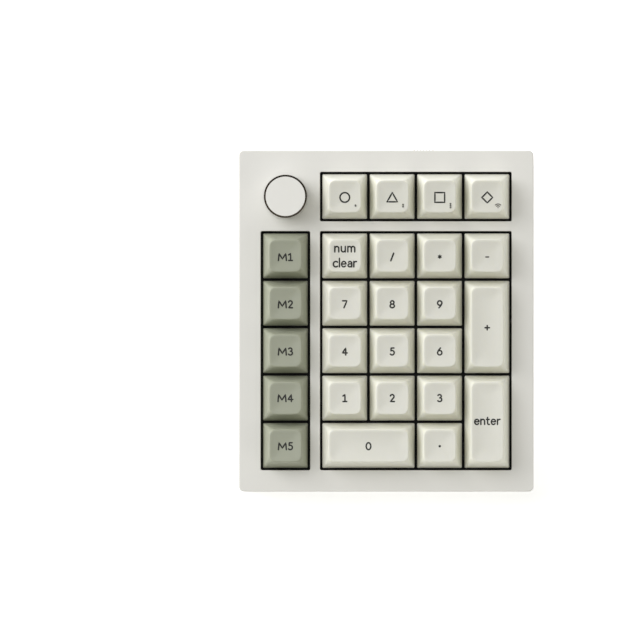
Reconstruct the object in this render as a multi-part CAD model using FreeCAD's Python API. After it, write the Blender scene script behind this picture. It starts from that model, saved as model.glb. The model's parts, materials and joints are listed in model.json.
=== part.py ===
"""Numeric keypad with a knob: 26 keys on plug-in cross-stem switches in a two-part aluminium case.

Nearly everything is drawn in the deck frame: X across the keys, Y away from the user along the deck,
Z square to the deck, with the top face of the switch plate at Z = 0. The finished pieces are tipped back
by the typing angle and stood on the desk, with the origin on the desk under the middle of the keypad.
Sizes are in millimetres. A cutter runs 1 mm past every face that it opens.
"""
import FreeCAD, Part
import math
import os
from FreeCAD import Placement, Rotation, Vector

# ---- Layout of the keys ----
UNIT = 19.05                  # pitch of one key
BLOCK_GAP = 0.25              # gap between the blocks of keys, in units
NUMBER_COLUMNS = 4
NUMBER_ROWS = 5
WINDOW_PLAY = 0.41            # from the edge of a key's square to the window's edge
BEZEL_SIDE = 9.2              # from the keys' field to the case's side
BEZEL_END = 9.0               # from the keys' field to the case's front and back

# ---- Case ----
TYPING_ANGLE = 5.2            # degrees
FRONT_HEIGHT = 22.5           # desk to the case's front top edge
CASE_TOP = 8.0                # heights in the deck frame
SKIN_UNDERSIDE = 1.6
SEAM = -6.5
CASE_FLOOR = -10.2
CASE_WALL = 4.0
CASE_CORNER = 2.0
CASE_EDGE_ROUND = 0.45
SEAM_CHAMFER = 0.25
WINDOW_CORNER = 0.6
WINDOW_EDGE_ROUND = 0.25
CAVITY_CORNER = 3.0
TAPER_START = -15.0           # below this the lower case draws in
TAPER_ANGLE = 12.0            # degrees
TAPER_DEPTH = 15.0

# ---- Case screws ----
SCREW_CORNER_INSET = 6.2
SCREW_SIDE_INSET = 5.2
SCREW_RADIUS = 1.5
SCREW_LENGTH = 10.0
SCREW_HEAD_RADIUS = 2.75
SCREW_HEAD_HEIGHT = 3.0
SCREW_KEY_WIDTH = 2.5         # across the flats of the hexagon socket
SCREW_SEAT = -10.0            # underside of the flange that the head pulls on
SCREW_HOLE_EXTRA = 0.5        # blind hole past the screw's tip
SCREW_THREAD_PLAY = 0.05
SCREW_SHANK_PLAY = 0.2
SCREW_HEAD_PLAY = 0.25
BOSS_RADIUS = 3.4
BOSS_CLEARANCE = 0.5          # plate and boards to a boss

# ---- Feet ----
FOOT_LENGTH = 24.0
FOOT_WIDTH = 7.0
FOOT_PROUD = 1.5
FOOT_SUNK = 0.7
FOOT_PLAY = 0.1               # all round, to its pocket
FOOT_EDGE_ROUND = 0.4
FOOT_INSET_SIDE = 19.2        # case side to the foot's centre
FOOT_INSET_END = 13.5         # case end to the foot's centre

# ---- Plate, boards and foam ----
PLATE_THICKNESS = 1.5
PLATE_EDGE_GAP = 0.5
SWITCH_CUTOUT = 14.0
BOARD_TOP = -5.0
BOARD_THICKNESS = 1.6
BOARD_GAP_SIDE = 0.6          # between the boards' edges and the gaskets
BOARD_GAP_END = 0.4
FOAM_GAP = 0.1                # foam to the plate, board or floor beside it
FOAM_CUTOUT_PLAY = 0.15
CASE_FOAM_TOP = -8.6
GASKET_WIDTH = 3.2
GASKET_LENGTH = 14.0
GASKET_WALL_GAP = 0.6
GASKET_STATION_SIDE = 30.0    # middle of the case to a side gasket
GASKET_STATION_END = 25.0     # middle of the case to an end gasket

# ---- Switches ----
FLANGE_SIZE = 15.6
FLANGE_THICKNESS = 1.0
HOUSING_TOP = 6.6
HOUSING_TOP_WIDE = 10.6
HOUSING_TOP_DEEP = 9.6
HOUSING_BASE = 14.2
HOUSING_WALL = 1.3
HOUSING_ROOF = 1.2
HOUSING_CAVITY = 11.5
HOUSING_FLOOR = 1.0
HOUSING_CORNER = 0.5
HOUSING_INNER_CORNER = 0.3
HOUSING_PLATE_PLAY = 0.1      # housing to the plate's cut-out, both sides together
SLIDER_WIDE = 7.0
SLIDER_DEEP = 5.5
SLIDER_PLAY = 0.2
SKIRT_WIDE = 8.6              # lower, wider part of the stem, held in by the top housing
SKIRT_DEEP = 6.8
SKIRT_TOP = 5.2
SKIRT_BOTTOM = 1.0
SKIRT_PLAY = 0.3
STEM_SHOULDER = 6.5
STEM_TOP = 10.2
CROSS_LENGTH = 4.0
CROSS_WIDTH = 1.2
CROSS_PLAY = 0.05
GUIDE_PIN_RADIUS = 1.05
GUIDE_PIN_BOTTOM = -3.4
GUIDE_TUBE_BORE = 1.25
GUIDE_TUBE_RADIUS = 1.9
GUIDE_TUBE_TOP = -2.8
CENTRE_POST_RADIUS = 1.95
CENTRE_POST_BOTTOM = -8.3
CENTRE_POST_BORE_BOTTOM = -7.5
CENTRE_POST_PLAY = 0.15
SPRING_INNER_RADIUS = 2.15
SPRING_WIRE = 0.4
CONTACT_PIN_ONE = (-3.81, 2.54)
CONTACT_PIN_TWO = (2.54, 5.08)
CONTACT_WIDTH = 1.0
CONTACT_THICKNESS = 0.3
CONTACT_BOTTOM = -8.0
CONTACT_TOP = 0.8
CONTACT_PLAY = 0.1
CONTACT_SLOT_RISE = 0.2       # the pin's slot past the housing's floor
BOARD_PIN_HOLE = 0.8
SOCKET_BOTTOM = -8.4
SOCKET_PAD_ONE = 3.4          # square pads round the two pins
SOCKET_PAD_TWO = 3.6
SOCKET_BRIDGE_FRONT = 0.2     # the bridge between the pads, from each pin
SOCKET_BRIDGE_BACK = 0.8
LIGHT_BACK = 5.0              # switch centre to the light, towards the user
LIGHT_WIDE = 3.2
LIGHT_DEEP = 2.8
LIGHT_TOP = -5.2
LIGHT_BOTTOM = -6.95
LIGHT_PLAY = 0.15
LIGHT_WING = 1.0              # each solder wing's reach
LIGHT_WING_INSET = 0.5

# ---- Keycaps ----
CAP_GAP = 1.05                # between neighbouring caps
CAP_BOTTOM = 6.1
CAP_TOP_INSET = 2.55          # foot of a side wall to the rim of the top
CAP_WALL = 1.5
CAP_ROOF = 1.5
CAP_FOOT_CORNER = 0.5
CAP_TOP_CORNER = 2.6
CAP_DISH_RADIUS = 34.0
CAP_DISH_DEPTH = 0.6
CAP_SOCKET_RADIUS = 2.7
CAP_SOCKET_BOTTOM = 6.7
CAP_SOCKET_IN_ROOF = 0.8
CAP_INNER_CORNER = 0.3
CAP_SLOT_OVER_STEM = 0.1
CAP_HEIGHTS = (9.6, 9.2, 9.2, 9.6, 10.4, 11.2)    # from the user's row to the back row
CAP_TILTS = (-4.0, -2.0, 0.0, 2.5, 4.5, 6.0)      # degrees, tops facing the user are positive

# ---- Stabilisers of the two-unit keys ----
STAB_SPACING = 11.938         # key centre to each insert
STAB_HALF_WIDE = 3.4
STAB_FRONT = -4.4
STAB_TOWER_BACK = 4.4
STAB_BACK = 9.6
STAB_TOWER_TOP = 2.8
STAB_TAIL_TOP = 1.2
STAB_SLOT_TOP = 0.6
STAB_SLOT_HALF = 0.9
STAB_FOOT_FRONT = -6.8
STAB_FOOT_TOP = -2.2
STAB_PLAY = 0.1               # housing to the plate's cut-out
STAB_SCREW_PLAY = 0.2         # screw to the board's hole
INSERT_HALF_WIDE = 2.5
INSERT_HALF_DEEP = 2.8
INSERT_PLAY = 0.15
INSERT_BOTTOM = -1.25
INSERT_NOTCH_HALF = 1.3
INSERT_NOTCH_PLAY = 0.7       # in front of the wire's tip
WIRE_RADIUS = 0.6
WIRE_PLAY = 0.08
WIRE_PIVOT_BACK = 8.4         # key centre to the wire's pivot
WIRE_PIVOT_HEIGHT = -2.4
WIRE_ARM = 7.2
WIRE_TIP_HEIGHT = 0.5
STAB_SCREW_FRONT = -5.6
STAB_SCREW_RADIUS = 0.95
STAB_SCREW_HEAD = 1.9
STAB_SCREW_HEAD_HEIGHT = 1.3
STAB_SCREW_TOP = -2.6
STAB_SCREW_HOLE_EXTRA = 0.1

# ---- Knob and encoder ----
KNOB_RADIUS = 8.65
KNOB_BOTTOM = 8.6
KNOB_HEIGHT = 9.6
KNOB_CHAMFER = 0.5
KNOB_ROOF = 2.0
KNOB_RECESS_RADIUS = 6.6
KNOB_RECESS_HEIGHT = 2.4
SHAFT_RADIUS = 3.0
SHAFT_FLAT = 2.3              # shaft centre to its flat
SHAFT_PLAY = 0.06
SHAFT_TOP_GAP = 0.1
SHAFT_BOTTOM = -3.9
SHAFT_FLAT_BOTTOM = 7.4       # the flat for the knob starts here
BUSHING_RADIUS = 3.5
BUSHING_TOP = 6.5
CASE_SHAFT_HOLE = 3.9
ENCODER_WIDE = 11.8
ENCODER_DEEP = 12.4
ENCODER_TOP = 1.5
ENCODER_FLOOR = 0.4
ROTOR_RADIUS = 4.6
ROTOR_BOTTOM = -3.5
ROTOR_THICKNESS = 1.2
ROTOR_PLAY = 0.3
ROTOR_CAVITY_TOP = -1.6
ENCODER_PIN_RADIUS = 0.5
ENCODER_PIN_INSET = 1.0
ENCODER_PIN_SPACING = 2.5
ENCODER_PIN_BELOW = 0.3       # past the board
ENCODER_PIN_PLAY = 0.15

# ---- Ports ----
PORT_BOARD_TOP = -13.1
PORT_BOARD_THICKNESS = 1.2
PORT_BOARD_LEFT = -36.0
PORT_BOARD_RIGHT = 26.0
PORT_BOARD_DEPTH = 15.53
PORT_BOARD_BACK_GAP = 2.0     # back edge to the case's wall
PORT_POCKET_FLOOR = -15.5
PORT_POCKET_MARGIN = 2.0
USB_X = -14.0
USB_WIDE = 8.94
USB_HIGH = 3.2
USB_LENGTH = 7.35
USB_MOUTH_IN_WALL = 1.0       # how far the mouth stands into the wall
USB_SHELL = 0.3
USB_TONGUE_WIDE = 6.7
USB_TONGUE_HIGH = 0.7
USB_BACK_WALL = 1.2
USB_TONGUE_SET_BACK = 0.8     # behind the mouth
USB_TONGUE_CORNER = 0.2
NEARLY_ROUND = 0.1            # an end's corner is this much under half the height
PLUG_RECESS_WIDE = 12.8
PLUG_RECESS_HIGH = 7.0
PLUG_RECESS_CORNER = 2.8
BUTTON_X = 15.2
BUTTON_WIDE = 8.4
BUTTON_HIGH = 2.4
BUTTON_PROUD = 0.6
BUTTON_TRAVEL = 2.0           # each way from the middle
BUTTON_PLAY = 0.25
BUTTON_RIDGES = 7
BUTTON_GROOVE = 0.35
ACTUATOR_WIDE = 2.0
ACTUATOR_HIGH = 1.0
ACTUATOR_LENGTH = 4.8
SWITCH_BODY_WIDE = 11.2
SWITCH_BODY_DEEP = 4.8
SWITCH_BODY_HIGH = 3.0
SWITCH_BODY_BACK_GAP = 0.2
ACTUATOR_SLOT_DEPTH = 3.0
ACTUATOR_PLAY = 0.15
BUTTON_WALL_GAP = 0.1         # button's root inside the cavity
BOARD_SCREW_INSET = 3.2
BOARD_STANDOFF_RADIUS = 2.4
BOARD_SCREW_DEPTH = 4.4
BOARD_SCREW_HOLE_EXTRA = 0.3
BOARD_SCREW_PLAY = 0.15

# ---- Battery, ribbon and chips ----
BAY_DEPTH = 38.0
BAY_TO_PORT_BOARD = 3.0
BAY_HALF_WIDE = 45.0
BAY_HEADROOM = 1.0            # over the cell, to the case's floor
BAY_CORNER = 3.0
BATTERY_WIDE = 54.0
BATTERY_DEEP = 32.0
BATTERY_THICKNESS = 6.0
BATTERY_PLAY_FRONT = 2.0
BATTERY_ROUND = 1.5
BEND_SHARE = 0.45             # of the shorter run beside a bend
LEAD_RADIUS = 0.5
LEAD_SPACING = 1.8
LEAD_OVER_PORT_BOARD = 1.3    # at its socket
LEAD_END_RUN = 3.0
LEAD_SOCKET_WIDE = 8.0
LEAD_SOCKET_DEEP = 5.5
LEAD_SOCKET_HIGH = 2.7
RIBBON_X = -29.2
RIBBON_WIDE = 8.0
RIBBON_THICKNESS = 0.3
RIBBON_END_RUN = 2.5
RIBBON_SOCKET_WIDE = 11.0
RIBBON_SOCKET_DEEP = 4.0
RIBBON_SOCKET_HIGH = 2.0
RIBBON_REACH = 7.0            # port board's front to the main board's ribbon socket
LEAD_SOCKET_INSET = 1.0       # sockets to the port board's front
RIBBON_SOCKET_INSET = 3.0
CHIP_SIZE = 7.0
CHIP_THICKNESS = 0.9
CHIP_FROM_KNOB = 11.28        # sideways, clear of the first column's switches
CHIP_Y = 12.0
RADIO_WIDE = 11.6
RADIO_DEEP = 16.0
RADIO_THICKNESS = 1.8
RADIO_Y = -14.0

# ---- Sizes that follow ----
FIELD_WIDTH = (1 + BLOCK_GAP + NUMBER_COLUMNS) * UNIT
FIELD_DEPTH = (1 + BLOCK_GAP + NUMBER_ROWS) * UNIT
CASE_WIDTH = FIELD_WIDTH + 2 * BEZEL_SIDE
CASE_DEPTH = FIELD_DEPTH + 2 * BEZEL_END
CAVITY_WIDTH = CASE_WIDTH - 2 * CASE_WALL
CAVITY_DEPTH = CASE_DEPTH - 2 * CASE_WALL
BOARD_WIDTH = CAVITY_WIDTH - 2 * (GASKET_WALL_GAP + GASKET_WIDTH + BOARD_GAP_SIDE)
BOARD_DEPTH = CAVITY_DEPTH - 2 * (GASKET_WALL_GAP + GASKET_WIDTH + BOARD_GAP_END)
BOARD_BOTTOM = BOARD_TOP - BOARD_THICKNESS
PORT_HEIGHT = PORT_BOARD_TOP + USB_HIGH / 2
PORT_BOARD_BACK = CAVITY_DEPTH / 2 - PORT_BOARD_BACK_GAP
PORT_BOARD_FRONT = PORT_BOARD_BACK - PORT_BOARD_DEPTH
BAY_BACK = PORT_BOARD_FRONT - BAY_TO_PORT_BOARD
BAY_FRONT = BAY_BACK - BAY_DEPTH
BAY_FLOOR = CASE_FLOOR - BAY_HEADROOM - BATTERY_THICKNESS
BATTERY_FRONT = BAY_FRONT + BATTERY_PLAY_FRONT
LEAD_HEIGHT_AT_BATTERY = BAY_FLOOR + BATTERY_THICKNESS / 2
LEAD_HEIGHT_AT_SOCKET = PORT_BOARD_TOP + LEAD_OVER_PORT_BOARD
RIBBON_BOARD_BACK = PORT_BOARD_FRONT - RIBBON_REACH
SINE = math.sin(math.radians(TYPING_ANGLE))
COSINE = math.cos(math.radians(TYPING_ANGLE))
BACK_REACH = (CASE_DEPTH / 2 + BUTTON_PROUD) * COSINE - (PORT_HEIGHT - BUTTON_HIGH / 2) * SINE
FRONT_REACH = (
    (CASE_DEPTH / 2 - CASE_EDGE_ROUND) * COSINE + (CASE_TOP - CASE_EDGE_ROUND) * SINE + CASE_EDGE_ROUND
)
DECK_SHIFT = (FRONT_REACH - BACK_REACH) / 2
DECK_RAISE = FRONT_HEIGHT + CASE_DEPTH / 2 * SINE - CASE_TOP * COSINE
KNOB_X = (0.5 * UNIT) - FIELD_WIDTH / 2
KNOB_Y = FIELD_DEPTH / 2 - 0.5 * UNIT
CHIP_X = KNOB_X + CHIP_FROM_KNOB


# ---- Plain shapes ----
def block(x0, x1, y0, y1, z0, z1):
    """A box between two corners."""
    return Part.makeBox(x1 - x0, y1 - y0, z1 - z0, Vector(x0, y0, z0))


def centred_block(width, depth, z0, z1, x=0.0, y=0.0):
    """A box of a width and depth about a vertical line."""
    return block(x - width / 2, x + width / 2, y - depth / 2, y + depth / 2, z0, z1)


def rod(radius, z0, z1, x=0.0, y=0.0):
    """A cylinder along Z."""
    return Part.makeCylinder(radius, z1 - z0, Vector(x, y, z0))


def rounded_outline(width, depth, radius, z=0.0):
    """A closed rectangle with round corners about the Z axis."""
    edges = []
    lean = radius * math.cos(math.radians(45))
    for turn in range(4):
        spin = Rotation(Vector(0, 0, 1), 90 * turn)
        half_x, half_y = (width / 2, depth / 2) if turn % 2 == 0 else (depth / 2, width / 2)
        centre = Vector(half_x - radius, half_y - radius, z)
        low = Vector(half_x, radius - half_y, z)
        high = centre + Vector(radius, 0, 0)
        middle = centre + Vector(lean, lean, 0)
        end = centre + Vector(0, radius, 0)
        low, high, middle, end = [spin.multVec(point) for point in (low, high, middle, end)]
        edges.append(Part.LineSegment(low, high).toShape())
        edges.append(Part.Arc(high, middle, end).toShape())
    return Part.Wire(edges)


def slab(width, depth, z0, z1, radius, x=0.0, y=0.0):
    """A block with round upright corners."""
    face = Part.Face(rounded_outline(width, depth, radius, z0))
    solid = face.extrude(Vector(0, 0, z1 - z0))
    solid.translate(Vector(x, y, 0))
    return solid


def loft(lower, upper):
    """A solid with straight sides between two outlines of as many edges."""
    return Part.makeLoft([lower, upper], True, True)


def join(shapes):
    """One solid from pieces that meet or overlap."""
    return shapes[0].multiFuse(shapes[1:]).removeSplitter()


def cut(shape, tools):
    """The shape without the tools."""
    return shape.cut(Part.makeCompound(tools))


def level_edges(shape, z):
    """The edges that lie in the level plane at z."""
    flat = []
    for edge in shape.Edges:
        box = edge.BoundBox
        if abs(box.ZMin - z) < 0.001 and abs(box.ZMax - z) < 0.001:
            flat.append(edge)
    return flat


def moved(shape, x, y, turn=0.0):
    """A copy turned about the Z axis and moved to x, y."""
    copy = shape.copy()
    copy.Placement = Placement(Vector(x, y, 0), Rotation(Vector(0, 0, 1), turn)).multiply(copy.Placement)
    return copy


def facing_back(shape, x, y, z):
    """A copy with its own Z pointing to the back of the keypad, placed at x, y, z."""
    copy = shape.copy()
    turned = Placement(Vector(x, y, z), Rotation(Vector(1, 0, 0), -90))
    copy.Placement = turned.multiply(copy.Placement)
    return copy


def path_with_bends(points):
    """Straight runs joined by tangent arcs, as large as the shorter run allows."""
    edges = []
    start = points[0]
    for before, corner, after in zip(points, points[1:], points[2:]):
        inward = (before - corner).normalize()
        outward = (after - corner).normalize()
        reach = BEND_SHARE * min(before.distanceToPoint(corner), after.distanceToPoint(corner))
        half_turn = (math.pi - inward.getAngle(outward)) / 2
        radius = reach / math.tan(half_turn)
        bisector = (inward + outward).normalize()
        middle = corner + bisector * (radius / math.cos(half_turn) - radius)
        first = corner + inward * reach
        last = corner + outward * reach
        edges.append(Part.LineSegment(start, first).toShape())
        edges.append(Part.Arc(first, middle, last).toShape())
        print("bend radius", round(radius, 2))
        start = last
    edges.append(Part.LineSegment(start, points[-1]).toShape())
    return Part.Wire(edges)


def swept(points, profile):
    """A solid of a closed profile drawn along a path."""
    return path_with_bends(points).makePipeShell([profile], True, True)


# ---- Keys and their places ----
KEYS = {}


def add_key(name, column, row, wide=1, deep=1):
    """Place a key's centre, in units from the field's left front corner."""
    KEYS[name] = {
        "x": column * UNIT - FIELD_WIDTH / 2,
        "y": row * UNIT - FIELD_DEPTH / 2,
        "wide": wide,
        "deep": deep,
        "row": int(row),
    }


FIRST_COLUMN = 1 + BLOCK_GAP + 0.5
BACK_ROW = NUMBER_ROWS + BLOCK_GAP + 0.5
for number in range(5):
    add_key("key_m%d" % (number + 1), 0.5, NUMBER_ROWS - 0.5 - number)
for column, name in enumerate(("circle", "triangle", "square", "diamond")):
    add_key("key_" + name, FIRST_COLUMN + column, BACK_ROW)
for column, name in enumerate(("clear", "divide", "multiply", "minus")):
    add_key("key_" + name, FIRST_COLUMN + column, 4.5)
for digit in range(1, 10):
    add_key("key_%d" % digit, FIRST_COLUMN + (digit - 1) % 3, 1.5 + (digit - 1) // 3)
add_key("key_plus", FIRST_COLUMN + 3, 3.0, deep=2)
add_key("key_enter", FIRST_COLUMN + 3, 1.0, deep=2)
add_key("key_0", FIRST_COLUMN + 0.5, 0.5, wide=2)
add_key("key_point", FIRST_COLUMN + 2, 0.5)


def stab_turn(place):
    """Turn of a two-unit key's stabiliser: the tall keys' lies across the deck. None on a small key."""
    if place["wide"] == 2:
        return 0.0
    if place["deep"] == 2:
        return 90.0
    return None


def at_switches(piece):
    """A copy of one piece under every key."""
    return [moved(piece, place["x"], place["y"]) for place in KEYS.values()]


def at_stabilisers(piece):
    """Two copies of one piece at every two-unit key, one at each insert."""
    copies = []
    for place in KEYS.values():
        turn = stab_turn(place)
        if turn is None:
            continue
        for side in (-STAB_SPACING, STAB_SPACING):
            copies.append(moved(moved(piece, side, 0), place["x"], place["y"], turn))
    return copies


def at_wires(piece):
    """A copy of one piece at every two-unit key."""
    copies = []
    for place in KEYS.values():
        turn = stab_turn(place)
        if turn is not None:
            copies.append(moved(piece, place["x"], place["y"], turn))
    return copies


def screw_places():
    """The six case screws: four corners and the middle of each side."""
    corner_x = CASE_WIDTH / 2 - SCREW_CORNER_INSET
    corner_y = CASE_DEPTH / 2 - SCREW_CORNER_INSET
    side_x = CASE_WIDTH / 2 - SCREW_SIDE_INSET
    places = [(sx * corner_x, sy * corner_y) for sx in (-1, 1) for sy in (-1, 1)]
    return places + [(-side_x, 0.0), (side_x, 0.0)]


def boss_notches(z0, z1):
    """Room for the screw bosses in a plate or a foam."""
    return [rod(BOSS_RADIUS + BOSS_CLEARANCE, z0, z1, x, y) for x, y in screw_places()]


# ---- Case ----
def window(columns, rows, left, front):
    """The cutter of one window, from its units and the units to its left front corner."""
    width = columns * UNIT + 2 * WINDOW_PLAY
    depth = rows * UNIT + 2 * WINDOW_PLAY
    x = (left + columns / 2) * UNIT - FIELD_WIDTH / 2
    y = (front + rows / 2) * UNIT - FIELD_DEPTH / 2
    return slab(width, depth, SKIN_UNDERSIDE - 1, CASE_TOP + 1, WINDOW_CORNER, x, y)


def top_case():
    """The upper half: a thick frame with three windows and a hole for the knob's shaft."""
    outside = slab(CASE_WIDTH, CASE_DEPTH, SEAM, CASE_TOP, CASE_CORNER)
    outside = outside.makeFillet(CASE_EDGE_ROUND, level_edges(outside, CASE_TOP))
    outside = outside.makeChamfer(SEAM_CHAMFER, level_edges(outside, SEAM))
    cavity = slab(CAVITY_WIDTH, CAVITY_DEPTH, SEAM - 1, SKIN_UNDERSIDE, CAVITY_CORNER)
    frame = outside.cut(cavity)
    first = 1 + BLOCK_GAP
    windows = [
        window(1, NUMBER_ROWS, 0, 0),
        window(NUMBER_COLUMNS, NUMBER_ROWS, first, 0),
        window(NUMBER_COLUMNS, 1, first, NUMBER_ROWS + BLOCK_GAP),
    ]
    windows.append(rod(CASE_SHAFT_HOLE, SKIN_UNDERSIDE - 1, CASE_TOP + 1, KNOB_X, KNOB_Y))
    frame = cut(frame, windows)
    rims = [edge for edge in level_edges(frame, CASE_TOP) if inside_field(edge)]
    frame = frame.makeFillet(WINDOW_EDGE_ROUND, rims)
    bosses = [rod(BOSS_RADIUS, SEAM, SKIN_UNDERSIDE + 1, x, y) for x, y in screw_places()]
    frame = join([frame] + bosses)
    return cut(frame, [rod(SCREW_RADIUS, SEAM - 1, SCREW_SEAT + SCREW_LENGTH + SCREW_HOLE_EXTRA, x, y)
                       for x, y in screw_places()])


def inside_field(edge):
    """Whether an edge of the top face belongs to a window or to the shaft's hole."""
    box = edge.BoundBox
    limit_x = FIELD_WIDTH / 2 + 2 * WINDOW_PLAY
    limit_y = FIELD_DEPTH / 2 + 2 * WINDOW_PLAY
    return max(-box.XMin, box.XMax) < limit_x and max(-box.YMin, box.YMax) < limit_y


def gasket_stations():
    """Centre, length along X and length along Y of each pair of gaskets."""
    side_x = CAVITY_WIDTH / 2 - GASKET_WALL_GAP - GASKET_WIDTH / 2
    end_y = CAVITY_DEPTH / 2 - GASKET_WALL_GAP - GASKET_WIDTH / 2
    stations = []
    for sx in (-1, 1):
        for sy in (-1, 1):
            stations.append((sx * side_x, sy * GASKET_STATION_SIDE, GASKET_WIDTH, GASKET_LENGTH))
            stations.append((sx * GASKET_STATION_END, sy * end_y, GASKET_LENGTH, GASKET_WIDTH))
    return stations


def gasket_strips():
    """Soft strips above and below the plate's edge."""
    strips = []
    for x, y, width, depth in gasket_stations():
        strips.append(centred_block(width, depth, 0, SKIN_UNDERSIDE, x, y))
        low = -PLATE_THICKNESS - SKIN_UNDERSIDE
        strips.append(centred_block(width, depth, low, -PLATE_THICKNESS, x, y))
    return strips


def gasket_rests():
    """Pads of the lower case that the lower gaskets lie on, tied to the wall below the seam."""
    rests = []
    rest_top = -PLATE_THICKNESS - SKIN_UNDERSIDE
    for x, y, width, depth in gasket_stations():
        rests.append(centred_block(width, depth, CASE_FLOOR - 1, rest_top, x, y))
        reach = GASKET_WALL_GAP + 1
        tie_x = math.copysign(reach / 2, x) if width < depth else 0.0
        tie_y = math.copysign(reach / 2, y) if depth < width else 0.0
        tie = centred_block(width + 2 * abs(tie_x), depth + 2 * abs(tie_y), CASE_FLOOR - 1,
                            SEAM - SEAM_CHAMFER, x + tie_x, y + tie_y)
        rests.append(tie)
    return rests


def port_pocket():
    """Room for the port board behind the battery, up to the back wall."""
    left = PORT_BOARD_LEFT - PORT_POCKET_MARGIN
    right = PORT_BOARD_RIGHT + PORT_POCKET_MARGIN
    return block(left, right, BAY_BACK - 2, CAVITY_DEPTH / 2, PORT_POCKET_FLOOR, CASE_FLOOR + 1)


def port_screw_places():
    """The two screws of the port board."""
    return [(PORT_BOARD_LEFT + BOARD_SCREW_INSET, PORT_BOARD_BACK - BOARD_SCREW_INSET),
            (PORT_BOARD_RIGHT - BOARD_SCREW_INSET, PORT_BOARD_FRONT + BOARD_SCREW_INSET)]


def wall_openings():
    """The plug's recess and the slide button's slot through the back wall."""
    through = CASE_WALL + 4
    start = CASE_DEPTH / 2 - CASE_WALL - 2
    recess = slab(PLUG_RECESS_WIDE, PLUG_RECESS_HIGH, 0, through, PLUG_RECESS_CORNER)
    slot_wide = BUTTON_WIDE + 2 * (BUTTON_TRAVEL + BUTTON_PLAY)
    slot = slab(slot_wide, BUTTON_HIGH + 2 * BUTTON_PLAY, 0, through, BUTTON_PLAY)
    return [facing_back(recess, USB_X, start, PORT_HEIGHT), facing_back(slot, BUTTON_X, start, PORT_HEIGHT)]


def ground_block():
    """Everything below the lower case's level underside, in the desk's frame."""
    size = 2 * CASE_DEPTH
    return block(-size, size, -size, size, -size, FOOT_PROUD)


def foot_places():
    """The four feet, on the level underside."""
    x = CASE_WIDTH / 2 - FOOT_INSET_SIDE
    y = CASE_DEPTH / 2 - FOOT_INSET_END
    return [(sx * x, sy * y) for sx in (-1, 1) for sy in (-1, 1)]


def bottom_case():
    """The lower half: a wedge with room for the boards and the battery. Made in the desk's frame."""
    straight = slab(CASE_WIDTH, CASE_DEPTH, TAPER_START, SEAM, CASE_CORNER)
    straight = straight.makeChamfer(SEAM_CHAMFER, level_edges(straight, SEAM))
    draw_in = 2 * TAPER_DEPTH * math.tan(math.radians(TAPER_ANGLE))
    narrow = rounded_outline(CASE_WIDTH - draw_in, CASE_DEPTH - draw_in, CASE_CORNER,
                             TAPER_START - TAPER_DEPTH)
    wide = rounded_outline(CASE_WIDTH, CASE_DEPTH, CASE_CORNER, TAPER_START)
    body = join([straight, loft(narrow, wide)])
    bay = slab(2 * BAY_HALF_WIDE, BAY_BACK - BAY_FRONT, BAY_FLOOR, CASE_FLOOR + 1, BAY_CORNER,
               0, (BAY_FRONT + BAY_BACK) / 2)
    room = slab(CAVITY_WIDTH, CAVITY_DEPTH, CASE_FLOOR, SEAM + 1, CAVITY_CORNER)
    body = cut(body, [room])
    bosses = [rod(BOSS_RADIUS, CASE_FLOOR - 1, SEAM, x, y) for x, y in screw_places()]
    body = join([body] + bosses + gasket_rests())
    body = cut(body, [bay, port_pocket()])
    standoffs = [
        rod(BOARD_STANDOFF_RADIUS, PORT_POCKET_FLOOR - 1, PORT_BOARD_TOP - PORT_BOARD_THICKNESS, x, y)
        for x, y in port_screw_places()
    ]
    body = join([body] + standoffs)
    holes = wall_openings()
    for x, y in screw_places():
        holes.append(rod(SCREW_RADIUS + SCREW_SHANK_PLAY, SCREW_SEAT - 1, SEAM + 1, x, y))
        holes.append(rod(SCREW_HEAD_RADIUS + SCREW_HEAD_PLAY, TAPER_START - TAPER_DEPTH, SCREW_SEAT, x, y))
    for x, y in port_screw_places():
        low = PORT_BOARD_TOP - BOARD_SCREW_DEPTH - BOARD_SCREW_HOLE_EXTRA
        holes.append(rod(STAB_SCREW_RADIUS + SCREW_THREAD_PLAY, low, 0, x, y))
    body = on_desk(cut(body, holes))
    pockets = [slab(FOOT_LENGTH + 2 * FOOT_PLAY, FOOT_WIDTH + 2 * FOOT_PLAY, 0, FOOT_PROUD + FOOT_SUNK,
                    FOOT_WIDTH / 2, x, y)
               for x, y in foot_places()]
    return cut(body, [ground_block()] + pockets)


def rubber_feet():
    """Four flat feet let into the underside. Made in the desk's frame."""
    feet = []
    for x, y in foot_places():
        foot = slab(FOOT_LENGTH, FOOT_WIDTH, 0, FOOT_PROUD + FOOT_SUNK, FOOT_WIDTH / 2 - FOOT_PLAY, x, y)
        feet.append(foot.makeFillet(FOOT_EDGE_ROUND, level_edges(foot, 0)))
    return feet


def hexagon(across_flats, z0, z1):
    """A hexagonal prism about the Z axis."""
    corner = across_flats / math.sqrt(3)
    points = [Vector(corner * math.cos(math.radians(60 * i)), corner * math.sin(math.radians(60 * i)), z0)
              for i in range(7)]
    return Part.Face(Part.makePolygon(points)).extrude(Vector(0, 0, z1 - z0))


def case_screws():
    """Socket-head screws from below, heads sunk in the lower case."""
    head = rod(SCREW_HEAD_RADIUS, SCREW_SEAT - SCREW_HEAD_HEIGHT, SCREW_SEAT)
    shank = rod(SCREW_RADIUS - SCREW_THREAD_PLAY, SCREW_SEAT, SCREW_SEAT + SCREW_LENGTH)
    low = SCREW_SEAT - SCREW_HEAD_HEIGHT
    screw = join([head, shank]).cut(hexagon(SCREW_KEY_WIDTH, low - 1, low + SCREW_HEAD_HEIGHT / 2))
    return [moved(screw, x, y) for x, y in screw_places()]


# ---- Plate, board and foam ----
def stab_cutout(z0, z1, play):
    """Cutter for one stabiliser housing, without its screw foot."""
    return block(-STAB_HALF_WIDE - play, STAB_HALF_WIDE + play, STAB_FRONT - play, STAB_BACK + play, z0, z1)


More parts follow.
